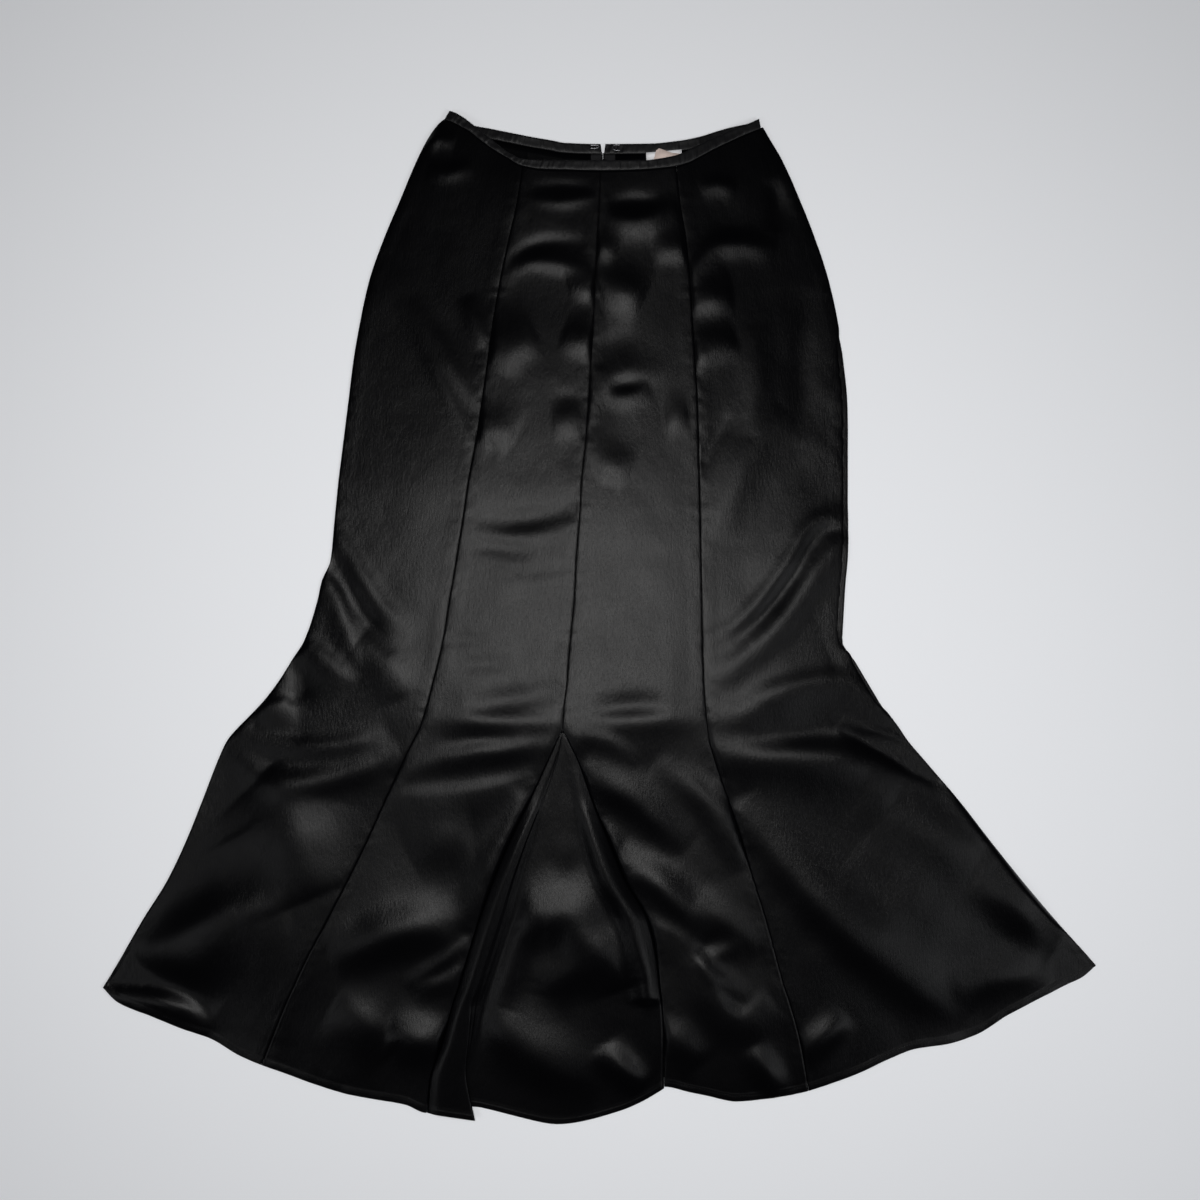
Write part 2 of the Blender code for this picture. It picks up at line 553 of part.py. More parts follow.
def main():
    clear_scene()
    col = make_collection(COLLECTION)
    tools = make_collection("cutters")
    satin = ((0.008, 0.008, 0.010), 0.34, 0.0)
    binding = ((0.012, 0.012, 0.014), 0.38, 0.0)
    tape = ((0.010, 0.010, 0.011), 0.75, 0.0)
    metal = ((0.03, 0.03, 0.032), 0.35, 1.0)
    steel = ((0.55, 0.55, 0.56), 0.3, 1.0)
    white = ((0.86, 0.86, 0.87), 0.7, 0.0)
    cream = ((0.82, 0.70, 0.64), 0.7, 0.0)

    def princess_l(gap):
        return lambda d: seam(S_PRIN_L, d) + gap * SEAM_HALF * slant(S_PRIN_L, d)

    def princess_r(gap):
        return lambda d: seam(S_PRIN_R, d) + gap * SEAM_HALF * slant(S_PRIN_R, d)

    def slant(column_index, d):
        s = (seam(column_index, d + 1.0) - seam(column_index, d - 1.0)) / 2.0
        return math.sqrt(1.0 + s * s)

    side_rows = mid_rows = evenly(28)
    gore("front_side_left", front_left_edge, princess_l(-1), front_top, hem, front_height,
         side_rows, 9, satin, col)
    gore("front_centre_left", princess_l(1), lambda d: seam(S_CEN_L, d) - SEAM_HALF * slant(S_CEN_L, d),
         front_top, hem, front_height, mid_rows, 7, satin, col)
    gore("front_centre_right", lambda d: seam(S_CEN_R, d) + SEAM_HALF * slant(S_CEN_R, d),
         princess_r(-1), front_top, hem, front_height, mid_rows, 7, satin, col)
    gore("front_side_right", princess_r(1), front_right_edge, front_top, hem, front_height,
         side_rows, 9, satin, col)
    build_godet(satin, col)

    # back gores: rows close together over the pull tab, far apart below it
    top_rows = [0.0, 0.006, 0.012, 0.022, 0.034, 0.046, 0.056, 0.068, 0.082]
    back_rows = top_rows + [0.082 + (1.0 - 0.082) * k / 16 for k in range(1, 17)]
    gore("back_side_left", back_left_edge, lambda d: seam(S_PRIN_L, d) + 4.0 - SEAM_HALF,
         back_top, back_hem, flat, back_rows, 5, satin, col)
    gore("back_side_right", lambda d: seam(S_PRIN_R, d) - 4.0 + SEAM_HALF, back_right_edge,
         back_top, back_hem, flat, back_rows, 5, satin, col)
    back_gore("back_centre_left", -1, back_rows, satin, col)
    back_gore("back_centre_right", 1, back_rows, satin, col)

    # waist binding
    rows = band_rows(lambda x: column(FRONT_TOP, 1, x), lambda x: column(FRONT_SEAM, 1, x),
                     (-149.3, 159.0), (-154.5, 160.8), 44, front_height)
    sheet_piece("waistband_front", rows, BAND_T, binding, col)
    for name, xa, xb in (("waistband_back_left", (-148.3, 1.0), (-153.5, 2.6)),
                         ("waistband_back_right", (6.0, 158.0), (4.4, 160.0))):
        rows = band_rows(lambda x: column(BACK_TOP, 1, x), back_band_low, xa, xb, 24, flat)
        sheet_piece(name, rows, BAND_T, binding, col)

    # zip tapes lie on the back gores
    for name, side in (("zip_tape_left", -1), ("zip_tape_right", 1)):
        rows = []
        for d in [44.0, 47.0, 50.0, 56.0, 64.0, 72.0, 80.0, 88.0, 98.0, 108.0, 150.0, 195.0,
                  44.0 + ZIP_LENGTH]:
            row = []
            for off in (1.4, 5.0, ZIP_TAPE_W + 1.4):
                x = back_centre(d) + side * off
                row.append(place(x, d, back_height(x, d) + CLOTH_T + REST_GAP))
            rows.append(row if side > 0 else row[::-1])
        sheet_piece(name, rows, ZIP_TAPE_T, tape, col)
    build_slider(metal, col, tools)
    build_pull_tab(metal, col, tools)

    # hook and eye, sewn to the inside of the back binding at the opening
    z = BAND_T + REST_GAP + 0.45
    wire("hook", [(-8.6, 34.0, z), (-4.0, 34.0, z), (-1.4, 34.3, z), (-0.5, 35.5, z),
                  (-1.4, 36.7, z), (-4.0, 37.0, z), (-8.6, 37.0, z)], 0.45, steel, col)
    wire("eye", [(20.0, 33.6, z), (16.5, 33.6, z), (14.0, 34.4, z), (13.2, 36.4, z),
                 (14.0, 38.4, z), (16.5, 39.2, z), (20.0, 39.2, z)], 0.45, steel, col)

    # blank label sewn under the back binding, and the folded care tab on it
    z = BAND_T + REST_GAP
    label = [(46.5, 41.5), (82.0, 38.5), (82.8, 60.0), (47.5, 62.5)]
    tab = [(53.8, 50.0), (56.5, 39.6), (59.5, 37.5), (72.0, 42.0), (81.0, 43.0), (80.5, 54.0), (54.5, 56.5)]
    for name, outline, low, look in (("label", label, z, white), ("care_tab", tab, z + 1.3, cream)):
        bm = bmesh.new()
        bm.faces.new([bm.verts.new(place(x, d, low)) for x, d in reversed(outline)])
        add_mesh(name, thicken_up(bm, 1.0), look, col)


def back_gore(name, side, stations, look, col):
    """A back centre gore: narrow strips beside the opening, wide ones further out."""
    inner = lambda d: back_centre(d) + side * slit(d)
    outer = (lambda d: seam(S_PRIN_L, d) + 4.0 + SEAM_HALF) if side < 0 else \
        (lambda d: seam(S_PRIN_R, d) - 4.0 - SEAM_HALF)
    rows = []
    for v in stations:
        row = []
        for f in (0.0, 0.07, 0.15, 0.25, 0.36, 0.55, 0.8, 1.0):
            x, d = gore_point(inner, outer, back_top, back_hem, f, v)
            row.append(place(x, d, back_height(x, d)))
        rows.append(row if side > 0 else row[::-1])
    return sheet_piece(name, rows, CLOTH_T, look, col)


main()
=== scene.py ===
"""Looks for the mermaid fishtail skirt: satin gores, godet, binding, zip, labels, light."""
import math

import bmesh
import bpy
import numpy as np
from mathutils import Matrix, Vector


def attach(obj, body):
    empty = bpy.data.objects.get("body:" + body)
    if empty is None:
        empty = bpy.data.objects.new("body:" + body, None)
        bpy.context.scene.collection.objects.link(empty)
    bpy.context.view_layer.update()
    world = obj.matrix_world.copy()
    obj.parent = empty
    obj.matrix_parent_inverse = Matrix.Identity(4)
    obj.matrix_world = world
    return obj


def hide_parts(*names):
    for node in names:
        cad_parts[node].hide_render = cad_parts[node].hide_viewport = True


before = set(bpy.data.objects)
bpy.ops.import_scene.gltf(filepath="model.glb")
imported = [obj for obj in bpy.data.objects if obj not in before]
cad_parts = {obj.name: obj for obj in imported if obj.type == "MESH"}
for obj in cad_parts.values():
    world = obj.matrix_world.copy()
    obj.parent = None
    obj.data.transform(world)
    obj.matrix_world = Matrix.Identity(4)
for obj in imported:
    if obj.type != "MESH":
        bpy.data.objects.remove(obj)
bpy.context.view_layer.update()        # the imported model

BODY = "skirt"

# ---------------------------------------------------------------- sizes (mm)
# x runs across from the middle of the skirt's width, drop runs down from the
# waist's highest corner.  Everything is millimetres until it becomes a mesh.
DROP_0 = 505.5            # drop 0 is this far up the Y axis from the middle of the length
CLOTH_T = 1.2             # wall of each gore
REST_GAP = 0.3            # gap between pieces that lie on each other
SEAM_HALF = 0.2           # half of the gap between two gores at a seam
BAND_W = 10.0             # waist binding, finished width

# The cut, laid flat: where each seam of the front crosses a section at this drop.
# side = silhouette, princess = seam between side and centre gore,
# centre_l / centre_r = centre front seam, which splits round the godet below its apex.
SECTIONS = (
    # drop, side_l, princess_l, centre_l, centre_r, princess_r, side_r
    (8.0, -154.5, -75.0, 1.0, 1.0, 76.0, 159.0),
    (12.0, -159.5, -75.4, 1.0, 1.0, 76.0, 160.8),
    (26.0, -170.0, -76.0, 1.0, 1.0, 76.1, 168.5),
    (48.0, -181.5, -76.3, 1.0, 1.0, 76.3, 181.5),
    (88.0, -198.5, -81.3, 0.0, 0.0, 79.5, 199.5),
    (128.0, -215.5, -90.2, -2.3, -2.3, 86.1, 215.5),
    (168.0, -229.5, -98.8, -4.3, -4.3, 90.0, 228.5),
    (208.0, -238.5, -105.8, -5.9, -5.9, 92.5, 237.5),
    (248.0, -245.5, -111.3, -8.3, -8.3, 95.0, 243.5),
    (288.0, -250.5, -117.0, -10.8, -10.8, 97.5, 247.5),
    (328.0, -255.5, -123.0, -13.7, -13.7, 98.7, 248.5),
    (368.0, -260.5, -130.5, -17.8, -17.8, 99.7, 248.5),
    (408.0, -264.5, -136.5, -20.1, -20.1, 100.6, 248.5),
    (448.0, -268.5, -143.0, -23.2, -23.2, 101.3, 247.5),
    (470.0, -277.5, -146.5, -24.3, -24.3, 101.7, 245.5),
    (488.0, -281.5, -149.8, -25.3, -25.3, 102.0, 244.5),
    (528.0, -294.5, -156.0, -29.2, -29.2, 102.6, 242.8),
    (548.0, -307.0, -160.5, -30.8, -30.8, 103.1, 255.0),
    (568.0, -319.5, -165.5, -32.2, -32.2, 103.7, 266.5),
    (588.0, -334.5, -170.5, -34.7, -34.7, 104.8, 278.5),
    (608.0, -353.5, -176.5, -36.3, -36.3, 106.5, 293.5),
    (615.0, -360.5, -178.8, -36.8, -36.8, 107.4, 298.8),
    (628.0, -371.5, -185.5, -42.7, -30.5, 109.3, 307.5),
    (648.0, -381.0, -195.2, -51.7, -21.0, 114.8, 324.5),
    (688.0, -396.5, -214.0, -70.3, -6.5, 128.7, 358.5),
    (728.0, -412.5, -232.0, -89.9, 9.8, 142.0, 389.5),
    (768.0, -431.5, -251.5, -106.5, 26.5, 154.0, 421.5),
    (808.0, -456.5, -272.0, -120.9, 49.5, 166.3, 455.5),
    (848.0, -479.5, -293.0, -133.0, 58.0, 177.0, 491.5),
    (873.0, -494.5, -304.5, -140.5, 60.5, 183.9, 512.0),
    (888.0, -503.5, -311.5, -145.7, 62.3, 189.0, 524.5),
    (928.0, -527.5, -328.0, -156.7, 64.3, 200.0, 557.5),
    (968.0, -551.5, -344.0, -169.5, 64.5, 207.0, 590.5),
    (1011.0, -577.5, -361.0, -173.0, 64.5, 212.5, 626.0),
)
S_DROP, S_SIDE_L, S_PRIN_L, S_CEN_L, S_CEN_R, S_PRIN_R, S_SIDE_R = range(7)

# Hem line of the four front gores: drop at each x
HEM = (
    # x, drop
    (-494.5, 876.0), (-478.5, 890.0), (-448.5, 902.0), (-418.5, 915.0), (-388.5, 926.0),
    (-358.5, 943.0), (-313.5, 960.0), (-283.5, 971.0), (-253.5, 980.0), (-223.5, 986.0),
    (-193.5, 991.0), (-172.5, 999.0),
    (-100.0, 985.0), (0.0, 978.0),
    (64.5, 973.0), (91.5, 979.0), (106.5, 982.0), (136.5, 988.0), (166.5, 985.0),
    (196.5, 980.0), (226.5, 971.0), (256.5, 960.0), (286.5, 946.0), (316.5, 935.0),
    (346.5, 931.0), (376.5, 922.0), (406.5, 903.0), (436.5, 887.0), (466.5, 872.0),
    (481.5, 865.0), (494.5, 854.0),
)

# Lower edge of the front waist binding and upper edges of front and back binding
FRONT_SEAM = (
    # x, drop
    (-154.5, 9.0), (-146.5, 12.0), (-137.0, 17.0), (-129.5, 21.5), (-117.5, 31.0),
    (-103.5, 41.0), (-91.5, 48.0), (-80.5, 54.8), (-74.5, 56.5), (-58.5, 59.3), (-30.0, 60.2),
    (0.0, 61.0), (36.5, 60.0), (71.5, 57.0), (87.5, 53.0), (100.5, 46.5), (111.5, 40.5),
    (122.5, 35.0), (140.5, 26.5), (160.5, 18.0),
)
FRONT_TOP = (
    # x, drop
    (-149.3, 0.0), (-146.5, 1.0), (-134.5, 8.0), (-127.5, 13.6), (-115.5, 23.0), (-105.5, 31.0),
    (-94.5, 40.0), (-84.5, 46.0), (-77.5, 49.0), (-55.0, 50.3), (0.0, 50.7), (46.5, 50.5),
    (60.5, 48.6), (71.5, 46.5), (82.5, 43.2), (90.5, 38.7), (100.5, 34.3), (110.5, 29.2),
    (120.5, 24.8), (135.5, 18.5), (152.5, 11.5), (159.0, 8.0),
)
BACK_TOP = (
    # x, drop
    (-149.3, 0.6), (-146.5, 1.3), (-134.5, 8.2), (-127.5, 13.4), (-109.5, 17.0), (-89.5, 21.0),
    (-69.5, 25.0), (-49.5, 28.5), (-33.5, 31.3), (0.0, 32.4), (50.5, 32.0), (80.5, 29.0),
    (90.5, 27.3), (100.5, 25.0), (115.5, 20.3), (130.5, 16.0), (145.5, 12.8), (153.5, 11.0),
    (159.0, 8.4),
)


EDGE_WAIST = 2.5          # front sheet above the rest plane at the waist corners
EDGE_SIDE = 1.5           # front sheet above the rest plane along the side seams
PUFF = (
    # drop, air under the middle of the front
    (0.0, 5.3), (60.0, 5.3), (120.0, 4.2), (300.0, 3.4), (600.0, 3.2), (850.0, 2.4), (1011.0, 1.2),
)

# The godet hangs as a soft wave with a pleat lapped over its left side at the hem
# and a standing fold on its right.  Places across are fractions of its width, heights
# are the cloth's middle above the rest plane, and lap is how far the pleat is folded over.
GODET = (
    # drop, crest_at, crest_z, fold_at, fold_z, tuck_at, tuck_z, foot_at, foot_z, mid_z,
    #       foot2_at, foot2_z, crest2_at, crest2_z, lap
    (615.0, 0.28, 4.8, 0.33, 4.7, 0.37, 4.6, 0.42, 4.5, 4.5, 0.60, 4.5, 0.74, 4.8, 0.0),
    (660.0, 0.15, 7.0, 0.21, 6.4, 0.26, 5.2, 0.33, 3.8, 4.4, 0.64, 3.8, 0.82, 7.2, 0.0),
    (728.0, 0.10, 8.0, 0.15, 7.2, 0.19, 5.0, 0.26, 3.2, 4.6, 0.70, 3.2, 0.85, 8.4, 0.0),
    (808.0, 0.07, 8.4, 0.11, 7.6, 0.15, 5.2, 0.20, 3.0, 4.8, 0.76, 3.0, 0.89, 9.0, 0.0),
    (872.0, 0.055, 8.6, 0.09, 7.8, 0.12, 5.4, 0.16, 2.8, 4.6, 0.82, 2.8, 0.93, 9.4, 0.1),
    (888.0, 0.050, 8.6, 0.09, 7.8, 0.115, 5.4, 0.155, 2.7, 4.4, 0.83, 2.7, 0.93, 8.8, 0.2),
    (902.0, 0.045, 8.5, 0.10, 7.8, 0.12, 5.3, 0.155, 2.6, 4.2, 0.83, 2.7, 0.92, 5.0, 0.3),
    (940.0, 0.045, 8.2, 0.13, 7.6, 0.13, 5.1, 0.170, 2.5, 3.4, 0.82, 2.6, 0.91, 3.8, 0.8),
    (968.0, 0.050, 8.0, 0.16, 7.5, 0.135, 5.0, 0.185, 2.5, 3.0, 0.80, 2.5, 0.90, 3.6, 1.0),
    (1011.0, 0.060, 7.8, 0.21, 7.4, 0.145, 4.9, 0.235, 2.4, 2.8, 0.78, 2.4, 0.90, 3.2, 1.0),
)
FOLD_STEP = 1.25          # rise of half a turned fold
FOLD_NOSE = 1.2           # reach of a turned fold's nose
GODET_HEM = (
    # place along the section: drop of the hem there
    (0.0, 999.0), (1.0, 1001.0), (2.0, 1006.0), (3.0, 1006.3), (4.0, 1005.0), (5.0, 998.0),
    (6.0, 995.0), (7.0, 993.0), (8.0, 994.0), (9.0, 1011.0), (10.0, 1000.0), (11.0, 989.0),
    (12.0, 975.0),
)
GODET_APEX = 618.5

ZIP_X = 3.5               # centre back opening
ZIP_LENGTH = 190.0
ZIP_TAPE_W = 11.0
ZIP_TAPE_T = 1.0
SLIDER_DROP = 54.0        # drop of the slider's eye
EYE_Z = 1.5               # height of the pull tab's hinge above the rest plane
TAB_LENGTH = 22.0
TAB_W = 5.0
TAB_T = 0.8
HUMP = 2.3                # back gores lift this much over the pull tab
BAND_T = 2.0


# ------------------------------------------------------------------ helpers
def curve_of(rows, col, t):
    """Smooth, overshoot-free curve through a table's column, for an array of places."""
    xs = np.array([r[0] for r in rows], dtype=float)
    ys = np.array([r[col] for r in rows], dtype=float)
    h = np.diff(xs)
    chord = np.diff(ys) / h
    m = np.zeros(len(xs))
    a, b = chord[:-1], chord[1:]
    ok = a * b > 0
    with np.errstate(divide="ignore", invalid="ignore"):
        m[1:-1] = np.where(ok, 2 * a * b / (a + b), 0.0)
    m[0], m[-1] = chord[0], chord[-1]
    t = np.asarray(t, dtype=float)
    k = np.clip(np.searchsorted(xs, t) - 1, 0, len(h) - 1)
    f = (t - xs[k]) / h[k]
    fi = np.clip(f, 0.0, 1.0)
    out = ((2 * fi ** 3 - 3 * fi ** 2 + 1) * ys[k] + (fi ** 3 - 2 * fi ** 2 + fi) * m[k] * h[k]
           + (-2 * fi ** 3 + 3 * fi ** 2) * ys[k + 1] + (fi ** 3 - fi ** 2) * m[k + 1] * h[k])
    out = out + np.where(f < 0, f * h[k] * m[0], 0.0) + np.where(f > 1, (f - 1) * h[k] * m[-1], 0.0)
    return out


def seam_a(col, d):
    return curve_of(SECTIONS, col, d)


def ease(a, b, t):
    f = np.clip((np.asarray(t, dtype=float) - a) / (b - a), 0.0, 1.0)
    return f * f * (3 - 2 * f)


def value_noise(x, y, seed):
    """Smooth repeatable noise, -1..1."""
    xi, yi = np.floor(x), np.floor(y)
    fx, fy = x - xi, y - yi
    fx, fy = fx * fx * (3 - 2 * fx), fy * fy * (3 - 2 * fy)

    def h(a, b):
        s = np.sin(a * 127.1 + b * 311.7 + seed * 74.7) * 43758.5453
        return (s - np.floor(s)) * 2 - 1
    return ((h(xi, yi) * (1 - fx) + h(xi + 1, yi) * fx) * (1 - fy)
            + (h(xi, yi + 1) * (1 - fx) + h(xi + 1, yi + 1) * fx) * fy)


def ridge_a(x, d, fold):
    """Height of one soft fold at every point: a bent line of three points, tapering at its ends."""
    x0, d0, x1, d1, x2, d2, height, width = fold[:8]
    out = np.zeros_like(x)
    reach = 3.2 * width
    lox, hix = min(x0, x1, x2) - reach, max(x0, x1, x2) + reach
    lod, hid = min(d0, d1, d2) - reach, max(d0, d1, d2) + reach
    near = (x > lox) & (x < hix) & (d > lod) & (d < hid)
    if not near.any():
        return out
    px_, pd_ = x[near], d[near]
    steps = 16
    best = np.full(px_.shape, 1e9)
    along = np.zeros(px_.shape)
    ax, ad = x0, d0
    for k in range(1, steps + 1):
        t = k / steps
        a, b, c = (1 - t) * (1 - 2 * t), 4 * t * (1 - t), t * (2 * t - 1)
        bx, bd = a * x0 + b * x1 + c * x2, a * d0 + b * d1 + c * d2
        ex, ed = bx - ax, bd - ad
        f = np.clip(((px_ - ax) * ex + (pd_ - ad) * ed) / (ex * ex + ed * ed), 0.0, 1.0)
        r = np.hypot(px_ - ax - f * ex, pd_ - ad - f * ed)
        hit = r < best
        best = np.where(hit, r, best)
        along = np.where(hit, (k - 1 + f) / steps, along)
        ax, ad = bx, bd
    ends = ease(-0.02, 0.28, along) * ease(-0.02, 0.28, 1 - along)
    out[near] = height * ends * np.exp(-(best / width) ** 2)
    return out


SQUARE_X, SQUARE_Y = 599.5, 112.0
LIGHT_AT = (580.0, 600.0)     # folds are written from the middle of the skirt's sheen outwards


FOLD_GAIN = 1.12
LINES = {}


def fold_line(pts):
    """The smooth line through a fold's points, its step lengths, and which side faces the middle."""
    if pts in LINES:
        return LINES[pts]
    p = np.array(pts, dtype=float) - np.array([SQUARE_X, SQUARE_Y])
    cx, cd = LIGHT_AT[0] - SQUARE_X, LIGHT_AT[1] - SQUARE_Y
    q = np.concatenate([[2 * p[0] - p[1]], p, [2 * p[-1] - p[-2]]])
    line = []
    for k in range(1, len(q) - 2):
        for j in range(7):
            t = j / 7.0
            line.append(0.5 * ((2 * q[k]) + (q[k + 1] - q[k - 1]) * t
                               + (2 * q[k - 1] - 5 * q[k] + 4 * q[k + 1] - q[k + 2]) * t * t
                               + (3 * q[k] - q[k - 1] - 3 * q[k + 1] + q[k + 2]) * t ** 3))
    line.append(p[-1])
    line = np.array(line)
    step = np.hypot(*np.diff(line, axis=0).T)
    run = np.concatenate([[0.0], np.cumsum(step)])
    mid = len(line) // 2
    m0, m1 = line[mid - 1], line[mid]
    toward = np.sign((m1[0] - m0[0]) * (cd - m0[1]) - (m1[1] - m0[1]) * (cx - m0[0])) or 1.0
    LINES[pts] = (line, step, run, mid, toward)
    return LINES[pts]


def fold_a(x, d, fold, plain=False):
    """Height of one fold.  Its crest runs smoothly through the written points and
    fades at both ends; the flank towards the middle of the skirt and the far flank have
    their own widths."""
    pts, height, near_w, far_w = fold
    if not plain:
        # the further out a fold lies, the steeper it stands
        mx, my = pts[len(pts) // 2]
        lean = 0.03 + 0.00068 * math.hypot(mx - LIGHT_AT[0], my - LIGHT_AT[1])
        lit = near_w if height > 0 else far_w
        grade = min(abs(height) / 1.5, 1.0) * FOLD_GAIN * (0.62 + 0.38 * float(ease(440.0, 520.0, my)))
        height = math.copysign(min(lean * lit / 0.86 * grade, 7.5), height)
    line, step, run, mid, toward = fold_line(pts)
    reach = 2.6 * max(near_w, far_w)
    out = np.zeros_like(x)
    near = ((x > line[:, 0].min() - reach) & (x < line[:, 0].max() + reach)
            & (d > line[:, 1].min() - reach) & (d < line[:, 1].max() + reach))
    if not near.any():
        return out
    px, pd = x[near], d[near]
    best = np.full(px.shape, 1e9)
    side = np.zeros(px.shape)
    along = np.zeros(px.shape)
    m0, m1 = line[mid - 1], line[mid]
    for k in range(len(line) - 1):
        ax, ad = line[k]
        ex, ed = line[k + 1] - line[k]
        f = np.clip(((px - ax) * ex + (pd - ad) * ed) / (ex * ex + ed * ed), 0.0, 1.0)
        r = np.hypot(px - ax - f * ex, pd - ad - f * ed)
        s = (ex * (pd - ad) - ed * (px - ax)) * toward
        hit = r < best
        best = np.where(hit, r, best)
        side = np.where(hit, s, side)
        along = np.where(hit, (run[k] + f * step[k]) / run[-1], along)
    # how far to the near side, blended so that the two flanks meet without a step
    blend = 0.5 + 0.5 * np.clip(side / np.maximum(np.hypot(*(m1 - m0)) * 3.0, 1e-6), -1.0, 1.0)
    width = near_w * blend + far_w * (1 - blend)
    ends = np.sin(np.pi * np.clip(along, 0.0, 1.0)) ** 0.75
    out[near] = height * ends * np.exp(-(best / width) ** 2)
    return out


# Folds of the front, gore by gore: points in mm across (X) and down (Y) a 1.2 m square
# round the skirt, height, width of the flank towards the middle, width of the far flank.
FOLDS_SIDE_L = (
    (((322, 522), (345, 545), (362, 575), (380, 603), (398, 622), (414, 640)), 2.8, 9, 12),
    (((312, 564), (334, 590), (343, 615), (350, 640), (360, 672)), 2.2, 8, 14),
    (((318, 546), (338, 572), (357, 604), (374, 630), (392, 656)), -1.5, 10, 10),
    (((298, 650), (318, 654), (335, 668), (354, 686)), 1.6, 10, 22),
    (((290, 660), (299, 675), (299, 690), (290, 704)), -2.0, 14, 9),
    (((256, 708), (275, 706), (292, 700)), 2.4, 8, 20),
    (((236, 724), (262, 741), (290, 746), (335, 745), (388, 734)), 1.9, 9, 13),
    (((232, 745), (262, 775), (292, 782), (330, 777), (370, 766), (402, 750)), 2.6, 13, 15),
    (((258, 780), (282, 806), (293, 836), (302, 862), (316, 896)), 3.4, 38, 50),
    (((134, 966), (180, 940), (225, 916), (262, 911), (292, 912)), 3.8, 24, 42),
    (((104, 978), (150, 980), (190, 992), (214, 1014)), -1.4, 20, 8),
    (((104, 990), (150, 998), (190, 1012), (208, 1034)), 1.8, 9, 14),
    (((398, 304), (420, 335), (440, 378), (460, 420), (472, 446)), 2.0, 8, 8),
    (((412, 300), (436, 340), (456, 376), (478, 410)), 1.8, 10, 7),
    (((466, 298), (474, 320), (484, 350)), 1.6, 10, 9),
    (((426, 152), (438, 140), (456, 144)), 1.4, 10, 6),
    (((428, 170), (446, 174), (474, 168)), 1.1, 9, 6),
    (((360, 640), (385, 660), (400, 700)), 1.0, 20, 24),
)
FOLDS_CENTRE_L = (
    (((481, 880), (485, 881)), -0.7, 4, 4),
    (((470, 919), (474, 920)), -0.7, 4, 4),
    (((466, 934), (470, 935)), -0.7, 4, 4),
    (((424, 719), (470, 719), (520, 721), (568, 722)), 2.0, 9, 12),
    (((390, 780), (430, 763), (470, 754), (510, 748), (560, 743)), 2.8, 10, 12),
    (((384, 797), (430, 795), (470, 791), (505, 784), (536, 774)), 3.0, 9, 24),
    (((528, 792), (510, 830), (492, 862), (478, 892), (466, 930)), 2.6, 14, 22),
    (((330, 956), (352, 949), (392, 933), (428, 926), (462, 936)), 4.0, 26, 22),
    (((404, 984), (428, 969), (450, 955), (470, 936)), 2.0, 6, 8),
    (((414, 988), (445, 979), (468, 962)), 1.6, 6, 12),
    (((388, 1030), (420, 1039), (450, 1036)), 3.2, 22, 20),
    (((334, 1004), (365, 1022), (394, 1050)), 0.8, 20, 26),
    (((468, 518), (500, 521), (530, 519), (560, 512), (586, 502)), -1.5, 12, 12),
    (((468, 533), (510, 537), (545, 533), (584, 524)), 0.9, 7, 8),
    (((466, 544), (500, 548), (536, 553)), -1.2, 9, 9),
    (((500, 573), (535, 570), (576, 566)), -0.7, 6, 6),
    (((500, 586), (535, 584), (574, 580)), 0.6, 6, 6),
    (((514, 600), (545, 599), (574, 596)), -0.6, 6, 6),
    (((444, 641), (465, 640), (488, 640)), -0.8, 8, 8),
    (((452, 666), (480, 664), (512, 663)), -0.8, 8, 8),
    (((466, 705), (519, 698), (570, 688)), -1.5, 13, 12),
    (((440, 745), (470, 738), (520, 740)), -0.8, 8, 8),
    (((410, 852), (440, 840), (472, 836)), 0.6, 26, 24),
    (((502, 274), (525, 252), (550, 244), (588, 245)), -1.8, 9, 7),
    (((504, 274), (530, 262), (560, 265), (592, 272)), 1.8, 9, 9),
    (((530, 190), (560, 188), (594, 191)), -1.3, 5, 5),
    (((528, 199), (560, 203), (596, 198)), 1.3, 7, 5),
    (((538, 338), (514, 348), (498, 372)), 2.6, 16, 26),
    (((562, 336), (580, 342), (600, 346)), 1.6, 13, 18),
    (((568, 290), (580, 288), (598, 294)), 1.4, 12, 16),
    (((476, 438), (494, 430), (514, 440)), 1.9, 17, 20),
    (((486, 450), (500, 450)), -0.8, 6, 6),
    (((552, 424), (582, 424)), 1.4, 13, 16),
    (((548, 404), (566, 398), (586, 402)), -0.9, 10, 8),
)
